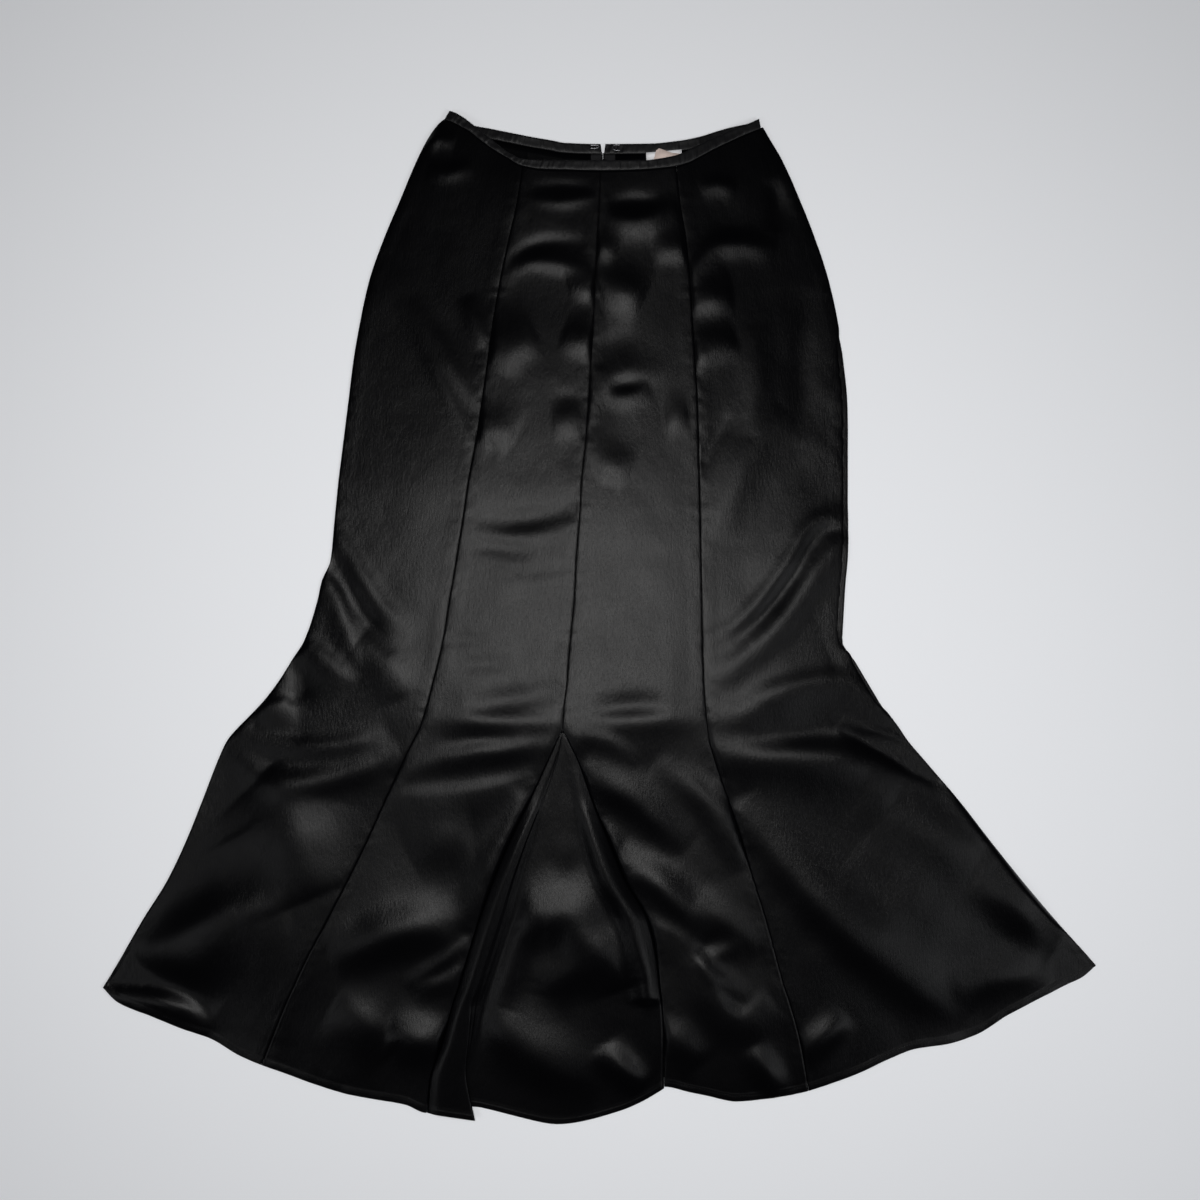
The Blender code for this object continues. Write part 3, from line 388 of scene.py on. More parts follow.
FOLDS_CENTRE_R = (
    (((619, 843), (625, 843)), -0.7, 4, 4),
    (((625, 857), (630, 857)), -0.7, 4, 4),
    (((566, 733), (593, 722), (640, 718), (706, 719)), 2.0, 9, 14),
    (((592, 710), (630, 706), (668, 703)), -1.3, 12, 12),
    (((568, 736), (600, 738), (620, 748), (636, 764)), 1.6, 8, 12),
    (((580, 766), (605, 783), (635, 801), (662, 826), (686, 846)), 3.4, 22, 15),
    (((654, 762), (685, 783), (708, 803), (727, 832), (746, 866)), 3.0, 14, 18),
    (((596, 822), (612, 846), (624, 870)), 1.8, 12, 10),
    (((616, 862), (650, 878), (675, 900), (692, 920), (704, 942)), 3.2, 20, 15),
    (((694, 900), (728, 922), (760, 952)), 0.8, 15, 15),
    (((644, 922), (670, 933), (686, 947), (701, 970), (715, 996), (728, 1012), (746, 1016), (770, 996)), 3.8, 12, 24),
    (((696, 964), (720, 952), (742, 943)), 0.8, 7, 9),
    (((696, 958), (722, 979), (748, 998)), 0.8, 10, 8),
    (((750, 1046), (765, 1068), (780, 1094)), 1.2, 13, 12),
    (((660, 1034), (680, 1040), (700, 1062)), 0.9, 17, 18),
    (((608, 207), (632, 202), (660, 204)), -1.6, 9, 6),
    (((606, 219), (640, 221), (678, 208)), 2.4, 18, 9),
    (((600, 297), (620, 292), (644, 302)), 2.3, 19, 20),
    (((594, 250), (606, 250), (618, 254)), 1.1, 12, 14),
    (((652, 253), (675, 250), (696, 256)), 1.5, 12, 16),
    (((588, 428), (598, 398), (616, 376), (642, 372), (658, 384)), 2.0, 9, 14),
    (((610, 385), (636, 383)), -1.3, 7, 6),
    (((606, 398), (630, 395), (650, 388)), 1.4, 12, 6),
    (((596, 472), (612, 467), (630, 476)), 1.6, 14, 18),
    (((604, 486), (618, 486)), -0.7, 6, 6),
    (((664, 420), (688, 418)), 1.3, 14, 18),
    (((600, 370), (610, 345), (640, 340)), -0.8, 16, 12),
    (((600, 560), (640, 556), (690, 560)), -0.5, 14, 12),
)
FOLDS_SIDE_R = (
    (((852, 540), (843, 526), (828, 520), (813, 525), (802, 538), (790, 560), (770, 588), (750, 612), (728, 630),
      (700, 640)), 3.2, 10, 10),
    (((862, 536), (838, 529), (820, 532), (806, 550), (793, 574), (774, 601), (754, 622), (728, 640)), -1.5, 8, 8),
    (((866, 532), (840, 545), (820, 566), (804, 590), (786, 616), (762, 642), (712, 682)), 3.6, 12, 15),
    (((706, 714), (742, 711), (768, 696), (800, 686), (838, 682), (866, 694), (896, 716)), 3.6, 14, 22),
    (((838, 720), (868, 730), (896, 738), (924, 752)), 1.7, 5, 9),
    (((704, 734), (760, 738), (820, 734), (880, 740), (916, 752)), -1.3, 15, 14),
    (((840, 731), (880, 749), (915, 767), (950, 784)), -2.0, 7, 10),
    (((736, 800), (765, 838), (790, 868), (820, 903), (855, 938), (890, 967), (930, 995), (966, 1020)), 6.0, 34, 20),
    (((700, 742), (760, 752), (840, 760), (900, 790)), 1.2, 24, 30),
    (((686, 284), (700, 264), (716, 247), (742, 244), (776, 250)), 1.8, 13, 9),
    (((690, 308), (708, 300), (732, 296)), 1.5, 14, 20),
    (((690, 362), (712, 350), (736, 340)), 1.6, 13, 20),
    (((754, 326), (755, 380), (748, 436)), 1.0, 13, 15),
    (((698, 476), (714, 442), (730, 414)), -1.6, 8, 9),
    (((784, 410), (752, 446), (734, 484), (718, 540)), 1.1, 17, 18),
    (((830, 400), (805, 445), (778, 490), (748, 540), (712, 600)), -0.6, 26, 14),
    (((808, 290), (802, 360), (800, 440)), -0.8, 14, 14),
    (((770, 180), (778, 206), (774, 232)), -1.2, 10, 10),
    (((700, 192), (716, 186), (736, 190)), 1.0, 10, 7),
    (((798, 1058), (820, 1037), (846, 1016)), 1.1, 15, 13),
    (((970, 880), (1010, 900), (1060, 950)), 0.9, 22, 40),
    (((950, 990), (1000, 976), (1050, 970)), 0.5, 22, 18),
    (((860, 790), (925, 826), (990, 872)), 0.5, 30, 30),
)
FOLDS_WIDE = (
    # broad air under the cloth, straight across the seams
    (((330, 660), (450, 712), (570, 718), (700, 710), (830, 660)), 5.0, 75, 52),
    (((330, 800), (300, 900), (270, 1040)), 2.6, 50, 60),
    (((860, 840), (930, 900), (960, 960)), 2.6, 60, 50),
    (((480, 200), (600, 240), (720, 200)), 1.2, 44, 40),
)


def gore_lift(x, d):
    """All folds together, each kept to its gore and dying away at the seams."""
    lift = np.zeros_like(x)
    p_l, c_l = seam_a(S_PRIN_L, d), seam_a(S_CEN_L, d)
    c_r, p_r = seam_a(S_CEN_R, d), seam_a(S_PRIN_R, d)
    s_l, s_r = seam_a(S_SIDE_L, d), seam_a(S_SIDE_R, d)
    for folds, a, b, fa, fb in ((FOLDS_SIDE_L, s_l, p_l, 2.0, 5.0), (FOLDS_CENTRE_L, p_l, c_l, 5.0, 4.0),
                                (FOLDS_CENTRE_R, c_r, p_r, 4.0, 5.0), (FOLDS_SIDE_R, p_r, s_r, 5.0, 2.0)):
        inside = ease(0.0, 1.0, (x - a) / fa) * ease(0.0, 1.0, (b - x) / fb)
        if not (inside > 0).any():
            continue
        one = np.zeros_like(x)
        for fold in folds:
            one += fold_a(x, d, fold)
        lift += one * inside
    for fold in FOLDS_WIDE:
        lift += fold_a(x, d, fold, plain=True)
    return lift


FOLDS_GODET = (
    (((521, 913), (526, 914)), -0.8, 5, 5),
    (((512, 943), (517, 944)), -0.8, 5, 5),
    (((495, 994), (500, 996)), -0.8, 6, 6),
    (((488, 918), (520, 918), (560, 914), (610, 900)), 1.0, 26, 26),
    (((512, 925), (508, 960), (496, 1004)), 1.6, 13, 13),
    (((470, 1000), (505, 1032), (550, 1064), (602, 1082)), 2.8, 32, 20),
    (((602, 1046), (622, 1068), (644, 1086)), 1.9, 14, 12),
    (((560, 940), (600, 950), (618, 990)), 1.2, 22, 22),
    (((540, 990), (575, 970), (600, 975)), 1.0, 18, 18),
)


TURN_H = 0.5              # the turned hem stands this much proud
TURN_W = 7.0
SKIN = 0.45               # thickness of the visible satin


def front_a(x, d, near_edge=None):
    """Middle height of the visible front sheet, mm."""
    left, right = seam_a(S_SIDE_L, d), seam_a(S_SIDE_R, d)
    g = np.clip((x - left) / (right - left), 0.0, 1.0)
    edge = EDGE_WAIST + (EDGE_SIDE - EDGE_WAIST) * ease(60.0, 130.0, d)
    h = edge + curve_of(PUFF, 1, d) * (4 * g * (1 - g)) ** 0.7
    near = np.minimum(x - left, right - x)
    lift = gore_lift(x, d)
    flare = ease(560.0, 720.0, d)
    lift += (0.9 + 1.6 * flare) * value_noise(x / 78.0, d / 92.0, 3.0)
    lift += (0.35 + 0.25 * flare) * value_noise(x / 31.0, d / 37.0, 8.0)
    lift += 0.07 * value_noise(x / 9.0, d / 12.0, 14.0)
    h = h + lift * ease(-3.0, 6.0, near) + 0.9
    return np.maximum(h, 1.5)




def grid_object(name, xs, ds, zs, thickness, mat, offset=0.0, smooth_it=True):
    """A sheet through a grid of points (mm), with Solidify for its thickness."""
    rows, cols = xs.shape
    verts = np.stack([xs * 0.001, (DROP_0 - ds) * 0.001, zs * 0.001], axis=-1).reshape(-1, 3)
    faces = []
    for r in range(rows - 1):
        base = r * cols
        for c in range(cols - 1):
            faces.append((base + c, base + cols + c, base + cols + c + 1, base + c + 1))
    mesh = bpy.data.meshes.new(name)
    mesh.from_pydata([tuple(v) for v in verts], [], faces)
    mesh.update()
    uv = mesh.uv_layers.new(name="UVMap")
    co = np.empty(len(mesh.loops), dtype=np.int32)
    mesh.loops.foreach_get("vertex_index", co)
    flat_uv = verts[co][:, :2].astype(np.float32).ravel()
    uv.data.foreach_set("uv", flat_uv)
    mesh.polygons.foreach_set("use_smooth", [smooth_it] * len(mesh.polygons))
    obj = bpy.data.objects.new(name, mesh)
    bpy.context.scene.collection.objects.link(obj)
    mesh.materials.append(mat)
    if thickness:
        mod = obj.modifiers.new("skin", "SOLIDIFY")
        mod.thickness = thickness * 0.001
        mod.offset = offset
    return obj


def sheet_grid(left, right, top, bottom, us, vs):
    """Plan places of a gore's points for arrays of fractions across and down."""
    u, v = np.meshgrid(us, vs)
    d = 100.0 + 800.0 * v
    x = np.zeros_like(d)
    for _ in range(60):
        x = (1 - u) * left(d) + u * right(d)
        d = d + 0.6 * (top(x) + v * (bottom(x) - top(x)) - d)
    return x, d


def across_stations(count, fine=(0.0, 0.004, 0.009, 0.016, 0.026)):
    inner = list(np.linspace(fine[-1], 1 - fine[-1], count))
    return np.array(list(fine[:-1]) + inner + [1 - f for f in reversed(fine[:-1])])


def down_stations(count, hem_mm=12.0, length=900.0):
    h = hem_mm / length
    body = list(np.linspace(0.0, 1.0 - h, count))
    tail = [1.0 - h * f for f in (0.86, 0.72, 0.6, 0.52, 0.46, 0.38, 0.28, 0.18, 0.1, 0.04, 0.0)]
    return np.array(body + tail)


# ------------------------------------------------------------------ materials
def new_material(name):
    mat = bpy.data.materials.new(name)
    mat.use_nodes = True
    nt = mat.node_tree
    return mat, nt, nt.nodes["Principled BSDF"]


def object_mm(nt, scale):
    """Object coordinates scaled so that one unit is 1/scale metres."""
    tc = nt.nodes.new("ShaderNodeTexCoord")
    mp = nt.nodes.new("ShaderNodeMapping")
    mp.inputs["Scale"].default_value = scale
    nt.links.new(tc.outputs["Object"], mp.inputs["Vector"])
    return mp.outputs["Vector"]


def satin_material(name, base, rough, spec, sheen, dark=(0.5, 1.0)):
    """Warp-faced satin: fine twilled weave, faint slubs, cloudy sheen."""
    mat, nt, bsdf = new_material(name)
    bsdf.inputs["Specular IOR Level"].default_value = spec
    bsdf.inputs["Anisotropic"].default_value = 0.35
    bsdf.inputs["Anisotropic Rotation"].default_value = 0.25
    bsdf.inputs["Sheen Weight"].default_value = sheen
    bsdf.inputs["Sheen Roughness"].default_value = 0.45
    bsdf.inputs["Sheen Tint"].default_value = (0.55, 0.55, 0.6, 1.0)
    vec = object_mm(nt, (1000.0, 1000.0, 1000.0))
    # long floats of the warp, 0.35 mm apart
    wave = nt.nodes.new("ShaderNodeTexWave")
    wave.wave_type, wave.bands_direction = "BANDS", "X"
    wave.inputs["Scale"].default_value = 0.45
    wave.inputs["Distortion"].default_value = 1.2
    wave.inputs["Detail"].default_value = 1.0
    nt.links.new(vec, wave.inputs["Vector"])
    fine = nt.nodes.new("ShaderNodeTexNoise")
    fine.inputs["Scale"].default_value = 1.1
    fine.inputs["Detail"].default_value = 3.0
    stretch = nt.nodes.new("ShaderNodeMapping")
    stretch.inputs["Scale"].default_value = (1.0, 0.12, 1.0)
    nt.links.new(vec, stretch.inputs["Vector"])
    nt.links.new(stretch.outputs["Vector"], fine.inputs["Vector"])
    slub = nt.nodes.new("ShaderNodeTexNoise")
    slub.inputs["Scale"].default_value = 0.42
    slub.inputs["Detail"].default_value = 5.0
    slub.inputs["Roughness"].default_value = 0.7
    lean = nt.nodes.new("ShaderNodeMapping")
    lean.inputs["Scale"].default_value = (1.0, 0.38, 1.0)
    nt.links.new(vec, lean.inputs["Vector"])
    nt.links.new(lean.outputs["Vector"], slub.inputs["Vector"])
    add = nt.nodes.new("ShaderNodeMath")
    add.operation = "MULTIPLY_ADD"
    nt.links.new(wave.outputs["Fac"], add.inputs[0])
    add.inputs[1].default_value = 0.2
    nt.links.new(fine.outputs["Fac"], add.inputs[2])
    both = nt.nodes.new("ShaderNodeMath")
    both.operation = "MULTIPLY_ADD"
    nt.links.new(slub.outputs["Fac"], both.inputs[0])
    both.inputs[1].default_value = 2.2
    nt.links.new(add.outputs[0], both.inputs[2])
    bump = nt.nodes.new("ShaderNodeBump")
    bump.inputs["Strength"].default_value = 1.0
    bump.inputs["Distance"].default_value = 0.00009
    nt.links.new(both.outputs[0], bump.inputs["Height"])
    nt.links.new(bump.outputs["Normal"], bsdf.inputs["Normal"])
    # cloudy roughness, as the nap lies a little differently from place to place
    cloud = nt.nodes.new("ShaderNodeTexNoise")
    cloud.inputs["Scale"].default_value = 0.03
    cloud.inputs["Detail"].default_value = 4.0
    nt.links.new(vec, cloud.inputs["Vector"])
    ramp = nt.nodes.new("ShaderNodeMapRange")
    ramp.inputs["To Min"].default_value = rough - 0.03
    ramp.inputs["To Max"].default_value = rough + 0.04
    nt.links.new(cloud.outputs["Fac"], ramp.inputs["Value"])
    nt.links.new(ramp.outputs["Result"], bsdf.inputs["Roughness"])
    tint = nt.nodes.new("ShaderNodeMix")
    tint.data_type = "RGBA"
    tint.inputs["A"].default_value = (base[0] * dark[0], base[1] * dark[0], base[2] * dark[0], 1.0)
    tint.inputs["B"].default_value = (base[0] * dark[1], base[1] * dark[1], base[2] * dark[1], 1.0)
    nt.links.new(fine.outputs["Fac"], tint.inputs["Factor"])
    nt.links.new(tint.outputs["Result"], bsdf.inputs["Base Color"])
    return mat


def woven_material(name, base, rough, pitch_mm, spec=0.3, strength=0.3):
    """Plain weave or ribbed tape."""
    mat, nt, bsdf = new_material(name)
    bsdf.inputs["Specular IOR Level"].default_value = spec
    vec = object_mm(nt, (1000.0, 1000.0, 1000.0))
    a = nt.nodes.new("ShaderNodeTexWave")
    a.bands_direction = "X"
    a.inputs["Scale"].default_value = 0.314 / pitch_mm
    b = nt.nodes.new("ShaderNodeTexWave")
    b.bands_direction = "Y"
    b.inputs["Scale"].default_value = 0.314 / pitch_mm
    for n in (a, b):
        n.inputs["Distortion"].default_value = 0.6
        nt.links.new(vec, n.inputs["Vector"])
    mul = nt.nodes.new("ShaderNodeMath")
    mul.operation = "MULTIPLY"
    nt.links.new(a.outputs["Fac"], mul.inputs[0])
    nt.links.new(b.outputs["Fac"], mul.inputs[1])
    bump = nt.nodes.new("ShaderNodeBump")
    bump.inputs["Strength"].default_value = strength
    bump.inputs["Distance"].default_value = 0.0001
    nt.links.new(mul.outputs[0], bump.inputs["Height"])
    nt.links.new(bump.outputs["Normal"], bsdf.inputs["Normal"])
    mix = nt.nodes.new("ShaderNodeMix")
    mix.data_type = "RGBA"
    mix.inputs["A"].default_value = (*[c * 0.82 for c in base], 1.0)
    mix.inputs["B"].default_value = (*base, 1.0)
    nt.links.new(mul.outputs[0], mix.inputs["Factor"])
    nt.links.new(mix.outputs["Result"], bsdf.inputs["Base Color"])
    noise = nt.nodes.new("ShaderNodeTexNoise")
    noise.inputs["Scale"].default_value = 0.5
    nt.links.new(vec, noise.inputs["Vector"])
    rr = nt.nodes.new("ShaderNodeMapRange")
    rr.inputs["To Min"].default_value = rough - 0.06
    rr.inputs["To Max"].default_value = rough + 0.06
    nt.links.new(noise.outputs["Fac"], rr.inputs["Value"])
    nt.links.new(rr.outputs["Result"], bsdf.inputs["Roughness"])
    return mat


def metal_material(name, base, rough, metal=1.0):
    mat, nt, bsdf = new_material(name)
    bsdf.inputs["Metallic"].default_value = metal
    vec = object_mm(nt, (1000.0, 1000.0, 1000.0))
    noise = nt.nodes.new("ShaderNodeTexNoise")
    noise.inputs["Scale"].default_value = 2.0
    noise.inputs["Detail"].default_value = 4.0
    nt.links.new(vec, noise.inputs["Vector"])
    rr = nt.nodes.new("ShaderNodeMapRange")
    rr.inputs["To Min"].default_value = rough - 0.08
    rr.inputs["To Max"].default_value = rough + 0.12
    nt.links.new(noise.outputs["Fac"], rr.inputs["Value"])
    nt.links.new(rr.outputs["Result"], bsdf.inputs["Roughness"])
    mix = nt.nodes.new("ShaderNodeMix")
    mix.data_type = "RGBA"
    mix.inputs["A"].default_value = (*[c * 0.7 for c in base], 1.0)
    mix.inputs["B"].default_value = (*base, 1.0)
    nt.links.new(noise.outputs["Fac"], mix.inputs["Factor"])
    nt.links.new(mix.outputs["Result"], bsdf.inputs["Base Color"])
    return mat


SATIN = satin_material("satin_black", (0.0008, 0.0008, 0.0012), 0.295, 0.088, 0.0)
BINDING = satin_material("binding_satin", (0.005, 0.005, 0.0056), 0.40, 0.16, 0.01)
TAPE = woven_material("zip_tape_weave", (0.006, 0.006, 0.007), 0.8, 0.6)
THREAD = woven_material("thread_black", (0.004, 0.004, 0.005), 0.6, 0.3)
COIL = woven_material("zip_coil_nylon", (0.012, 0.012, 0.013), 0.4, 0.5)
LABEL_WHITE = woven_material("label_white_weave", (0.86, 0.86, 0.88), 0.75, 0.5)
CARE_CREAM = woven_material("care_cream_ribbon", (0.86, 0.70, 0.63), 0.7, 0.5)
ENAMEL = metal_material("zip_enamel", (0.02, 0.02, 0.021), 0.35)
NICKEL = metal_material("hook_nickel", (0.16, 0.16, 0.17), 0.34)


# ------------------------------------------------------------------ front gores
def top_edge(x):
    return curve_of(FRONT_SEAM, 1, x) - 0.5


def hem_edge(x):
    return curve_of(HEM, 1, x)


def roll_a(d):
    return 5.0 * ease(215.0, 245.0, d) * (1 - ease(520.0, 545.0, d)) + \
        3.5 * ease(540.0, 552.0, d) * (1 - ease(585.0, 602.0, d))


def seam_fn(col, gap):
    return lambda d: seam_a(col, d) + gap


SEW = 0.12


def dress(x, d, z, u, hem_fn, width):
    """Seam grooves, stitched turn of the hem and seam puckers on a gore's heights."""
    near = np.minimum(u, 1 - u) * width
    groove = np.exp(-(near / 0.9) ** 2) * 0.35
    allowance = 0.12 * ease(0.6, 5.0, near) * (1 - ease(9.0, 16.0, near))
    allowance = allowance + 0.25 * np.exp(-((near - 1.6) / 0.9) ** 2) * ease(640.0, 720.0, d)
    pucker = 0.22 * value_noise(d / 5.5, near / 9.0, 5.0) * np.exp(-(near / 9.0) ** 2)
    up = hem_fn(x) - d
    turn = TURN_H * (1 - ease(TURN_W - 0.8, TURN_W + 0.8, up))
    stitch = 0.30 * np.exp(-((up - (TURN_W - 1.2)) / 0.6) ** 2)
    wobble = 0.35 * value_noise(x / 9.0, up / 14.0, 12.0) * np.exp(-(up / 12.0) ** 2)
    return z - groove + allowance + pucker + turn - stitch + wobble


def softened(z, passes=2):
    """A little averaging over the grid, so that crossing folds run into each other."""
    for _ in range(passes):
        z[1:-1, :] = 0.25 * z[:-2, :] + 0.5 * z[1:-1, :] + 0.25 * z[2:, :]
        z[:, 1:-1] = 0.25 * z[:, :-2] + 0.5 * z[:, 1:-1] + 0.25 * z[:, 2:]
    return z


def visible_gore(name, node, left, right, across, down):
    us, vs = across_stations(across), down_stations(down)
    x, d = sheet_grid(left, right, top_edge, hem_edge, us, vs)
    width = (right(d) - left(d))
    u = np.broadcast_to(us, x.shape)
    z = softened(front_a(x, d), 1)
    z = dress(x, d, z, u, hem_edge, width)
    obj = grid_object(name, x, d, z, SKIN, SATIN)
    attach(obj, BODY)
    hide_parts(node)
    return obj


N_SIDE, N_MID, N_DOWN = 74, 56, 330
gore_sl = visible_gore("satin_side_left", "front_side_left", lambda d: seam_a(S_SIDE_L, d),
                       seam_fn(S_PRIN_L, -SEW), N_SIDE, N_DOWN)
gore_cl = visible_gore("satin_centre_left", "front_centre_left", seam_fn(S_PRIN_L, SEW),
                       seam_fn(S_CEN_L, -SEW), N_MID, N_DOWN)
gore_cr = visible_gore("satin_centre_right", "front_centre_right", seam_fn(S_CEN_R, SEW),
                       seam_fn(S_PRIN_R, -SEW), N_MID, N_DOWN)
gore_sr = visible_gore("satin_side_right", "front_side_right", seam_fn(S_PRIN_R, SEW),
                       lambda d: seam_a(S_SIDE_R, d) - roll_a(d), N_SIDE, N_DOWN)


# ------------------------------------------------------------------ godet
def godet_grid():
    ss = []
    for k in range(12):
        n = 10 if k in (8, 9) else (6 if k in (0, 1, 10, 11) else 4)
        ss += [k + j / n for j in range(n)]
    ss.append(12.0)
    ss = np.array(ss)
    vs = down_stations(150, 10.0, 390.0)
    s, v = np.meshgrid(ss, vs)
    d = GODET_APEX + v * (curve_of(GODET_HEM, 1, s) - GODET_APEX)
    left = seam_a(S_CEN_L, d) + GODET_GAP
    right = seam_a(S_CEN_R, d) - GODET_GAP
    width = np.maximum(right - left, 0.5)
    at = lambda c: curve_of(GODET, c, d)
    lap = np.clip(at(14), 0, 1)
    nose = np.minimum(FOLD_NOSE, 0.012 * width)
    rise = FOLD_STEP * lap + 0.25 * (1 - lap)
    turn = nose * (1 - 2 * lap)
    fx, tx = left + at(3) * width, left + at(5) * width
    dz = lambda c: curve_of(GODET_DRAPE, c, d)
    fz, tz = dz(2), dz(3)
    zl, zr = front_a(left, d) - 0.2, front_a(right, d) - 0.2
    kx = [left, left + at(1) * width, fx - nose, fx, fx + turn, tx - turn, tx, tx + nose,
          left + at(7) * width, left + 0.55 * width, left + at(10) * width, left + at(12) * width, right]
    kz = [zl, dz(1), fz, fz - rise, fz - 2 * rise, tz, tz - rise, tz - 2 * rise, dz(4), dz(5),
          dz(6), dz(7), zr]
    kx, kz = np.stack(kx), np.stack(kz)

    def along(k):
        """Cubic through the knots with monotone slopes, per point."""
        ch = k[1:] - k[:-1]
        m = np.zeros_like(k)
        a, b = ch[:-1], ch[1:]
        with np.errstate(divide="ignore", invalid="ignore"):
            m[1:-1] = np.where(a * b > 0, 2 * a * b / (a + b), 0.0)
        m[0], m[-1] = ch[0], ch[-1]
        i = np.clip(np.floor(s).astype(int), 0, 11)
        f = s - i
        pick = lambda arr, j: np.take_along_axis(arr, j[None], axis=0)[0]
        return ((2 * f ** 3 - 3 * f ** 2 + 1) * pick(k, i) + (f ** 3 - 2 * f ** 2 + f) * pick(m, i)
                + (-2 * f ** 3 + 3 * f ** 2) * pick(k, i + 1) + (f ** 3 - f ** 2) * pick(m, i + 1))
    x, z = along(kx), along(kz)
    near = np.minimum(x - left, right - x)
    extra = 0.5 * value_noise(x / 40.0, d / 55.0, 21.0) + 0.25 * value_noise(x / 17.0, d / 24.0, 33.0)
    up = curve_of(GODET_HEM, 1, s) - d
    z = z + extra * ease(0, 8, near) * ease(8.0, 8.6, s)
    for fold in FOLDS_GODET:
        z = z + fold_a(x, d, fold) * ease(8.0, 8.4, s)
    z = z + 0.35 * (1 - ease(TURN_W - 0.8, TURN_W + 0.8, up)) - 0.25 * np.exp(-((up - 5.8) / 0.6) ** 2)
    groove = np.exp(-(np.abs(x - left) / 1.0) ** 2) * (s < 2) + np.exp(-(np.abs(right - x) / 1.0) ** 2) * (s > 10)
    z = z - 0.6 * groove
    return x, d, np.maximum(z, 0.9)


GODET_GAP = 0.15
# the drape as seen: a level triangle under the apex, then the crests part round a low panel
GODET_DRAPE = (
    # drop, crest_z, fold_z, tuck_z, foot_z, mid_z, foot2_z, crest2_z
    (615.0, 10.6, 10.6, 10.6, 10.6, 10.6, 10.6, 10.6),
    (640.0, 9.2, 9.1, 9.0, 8.9, 8.8, 8.9, 9.2),
    (655.0, 8.3, 8.1, 7.9, 7.7, 7.6, 7.7, 8.0),
    (684.0, 7.2, 6.8, 6.2, 5.8, 5.8, 5.8, 7.0),
    (704.0, 8.2, 7.6, 6.0, 5.0, 5.0, 5.0, 8.4),
    (730.0, 9.2, 8.2, 5.8, 3.6, 4.2, 3.8, 9.4),
    (760.0, 9.4, 8.2, 5.4, 2.8, 3.0, 2.8, 9.8),
    (808.0, 9.4, 8.2, 5.2, 2.8, 4.0, 2.8, 10.0),
    (872.0, 9.2, 8.2, 5.4, 2.8, 4.6, 2.8, 9.8),
    (885.0, 9.1, 8.2, 5.4, 2.7, 4.4, 2.8, 9.6),
    (893.0, 9.0, 8.1, 5.3, 2.7, 4.3, 2.7, 4.6),
    (902.0, 9.0, 8.1, 5.3, 2.6, 4.2, 2.7, 4.0),
    (940.0, 8.6, 7.8, 5.1, 2.5, 3.4, 2.6, 3.8),
    (968.0, 8.2, 7.6, 5.0, 2.5, 3.0, 2.5, 3.6),
    (1011.0, 7.9, 7.5, 4.9, 2.4, 2.8, 2.4, 3.2),
)
gx, gd, gz = godet_grid()
godet = grid_object("satin_godet", gx, gd, gz, SKIN, SATIN)
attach(godet, BODY)
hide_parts("front_godet")


# ------------------------------------------------------------------ back gores
def hump_a(x, d):
    return HUMP * (1 - ease(5.0, 26.0, np.abs(x - ZIP_X))) * ease(43.5, 49.5, d) * (1 - ease(80.0, 106.0, d))


def back_low_a(x):
    e = 0.5
    s = (curve_of(BACK_TOP, 1, x + e) - curve_of(BACK_TOP, 1, x - e)) / (2 * e)
    return curve_of(BACK_TOP, 1, x) + BAND_W * np.sqrt(1 + s * s)


def back_mid_a(d):
    return np.where(d < 615.0, seam_a(S_CEN_L, d) + 2.5, -34.3 + (d - 615.0) * (-18.0 / 375.0))


def back_hem_a(x):
    return curve_of(HEM, 1, x) - 8.0


def visible_back(name, node, left, right, across, down, rolled=False):
    us, vs = across_stations(across), down_stations(down)
    x, d = sheet_grid(left, right, lambda q: back_low_a(q) - 0.8, back_hem_a, us, vs)
    u = np.broadcast_to(us, x.shape)
    near = np.minimum(u, 1 - u) * (right(d) - left(d))
    # the back rests flat, with soft troughs that stand clear of the floor
    lift = np.zeros_like(x)
    for c in BACK_CREASES:
        f = (c[0] - SQUARE_X, c[1] - SQUARE_Y, c[2] - SQUARE_X, c[3] - SQUARE_Y,
             c[4] - SQUARE_X, c[5] - SQUARE_Y, c[6], c[7])
        lift += ridge_a(x, d, f)
    z = 0.6 + hump_a(x, d) + np.minimum(lift, 0.9) * ease(0, 12, near)
    z = z + 0.15 * np.exp(-(near / 1.2) ** 2)
    obj = grid_object(name, x, d, z, SKIN, SATIN)
    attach(obj, BODY)
    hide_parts(node)
    return obj


BACK_CREASES = (
    (380, 520, 420, 545, 470, 560, 0.9, 14),
    (360, 600, 420, 640, 500, 650, 0.9, 12),
    (300, 700, 380, 720, 480, 716, 0.9, 16),
    (250, 800, 330, 830, 430, 820, 0.9, 18),
    (620, 540, 700, 560, 800, 540, 0.9, 14),
    (640, 640, 720, 650, 810, 610, 0.9, 13),
    (650, 740, 760, 750, 880, 730, 0.9, 16),
    (700, 860, 820, 900, 940, 960, 0.9, 20),
    (540, 300, 580, 310, 640, 300, 0.8, 12),
    (520, 420, 580, 430, 650, 415, 0.8, 12),
)
NB, NBD = 34, 130
back_sl = visible_back("satin_back_side_left", "back_side_left", lambda d: seam_a(S_SIDE_L, d) + 1.0,
                       lambda d: seam_a(S_PRIN_L, d) + 4.0, NB, NBD)
back_cl = visible_back("satin_back_centre_left", "back_centre_left", lambda d: seam_a(S_PRIN_L, d) + 4.0,
                       lambda d: back_mid_a(d) - SEW - 1.0 * ease(48, 50.5, d) * (1 - ease(59, 62, d)), NB, NBD)
back_cr = visible_back("satin_back_centre_right", "back_centre_right",
                       lambda d: back_mid_a(d) + SEW + 1.0 * ease(48, 50.5, d) * (1 - ease(59, 62, d)),
                       lambda d: seam_a(S_PRIN_R, d) - 4.0, NB, NBD)


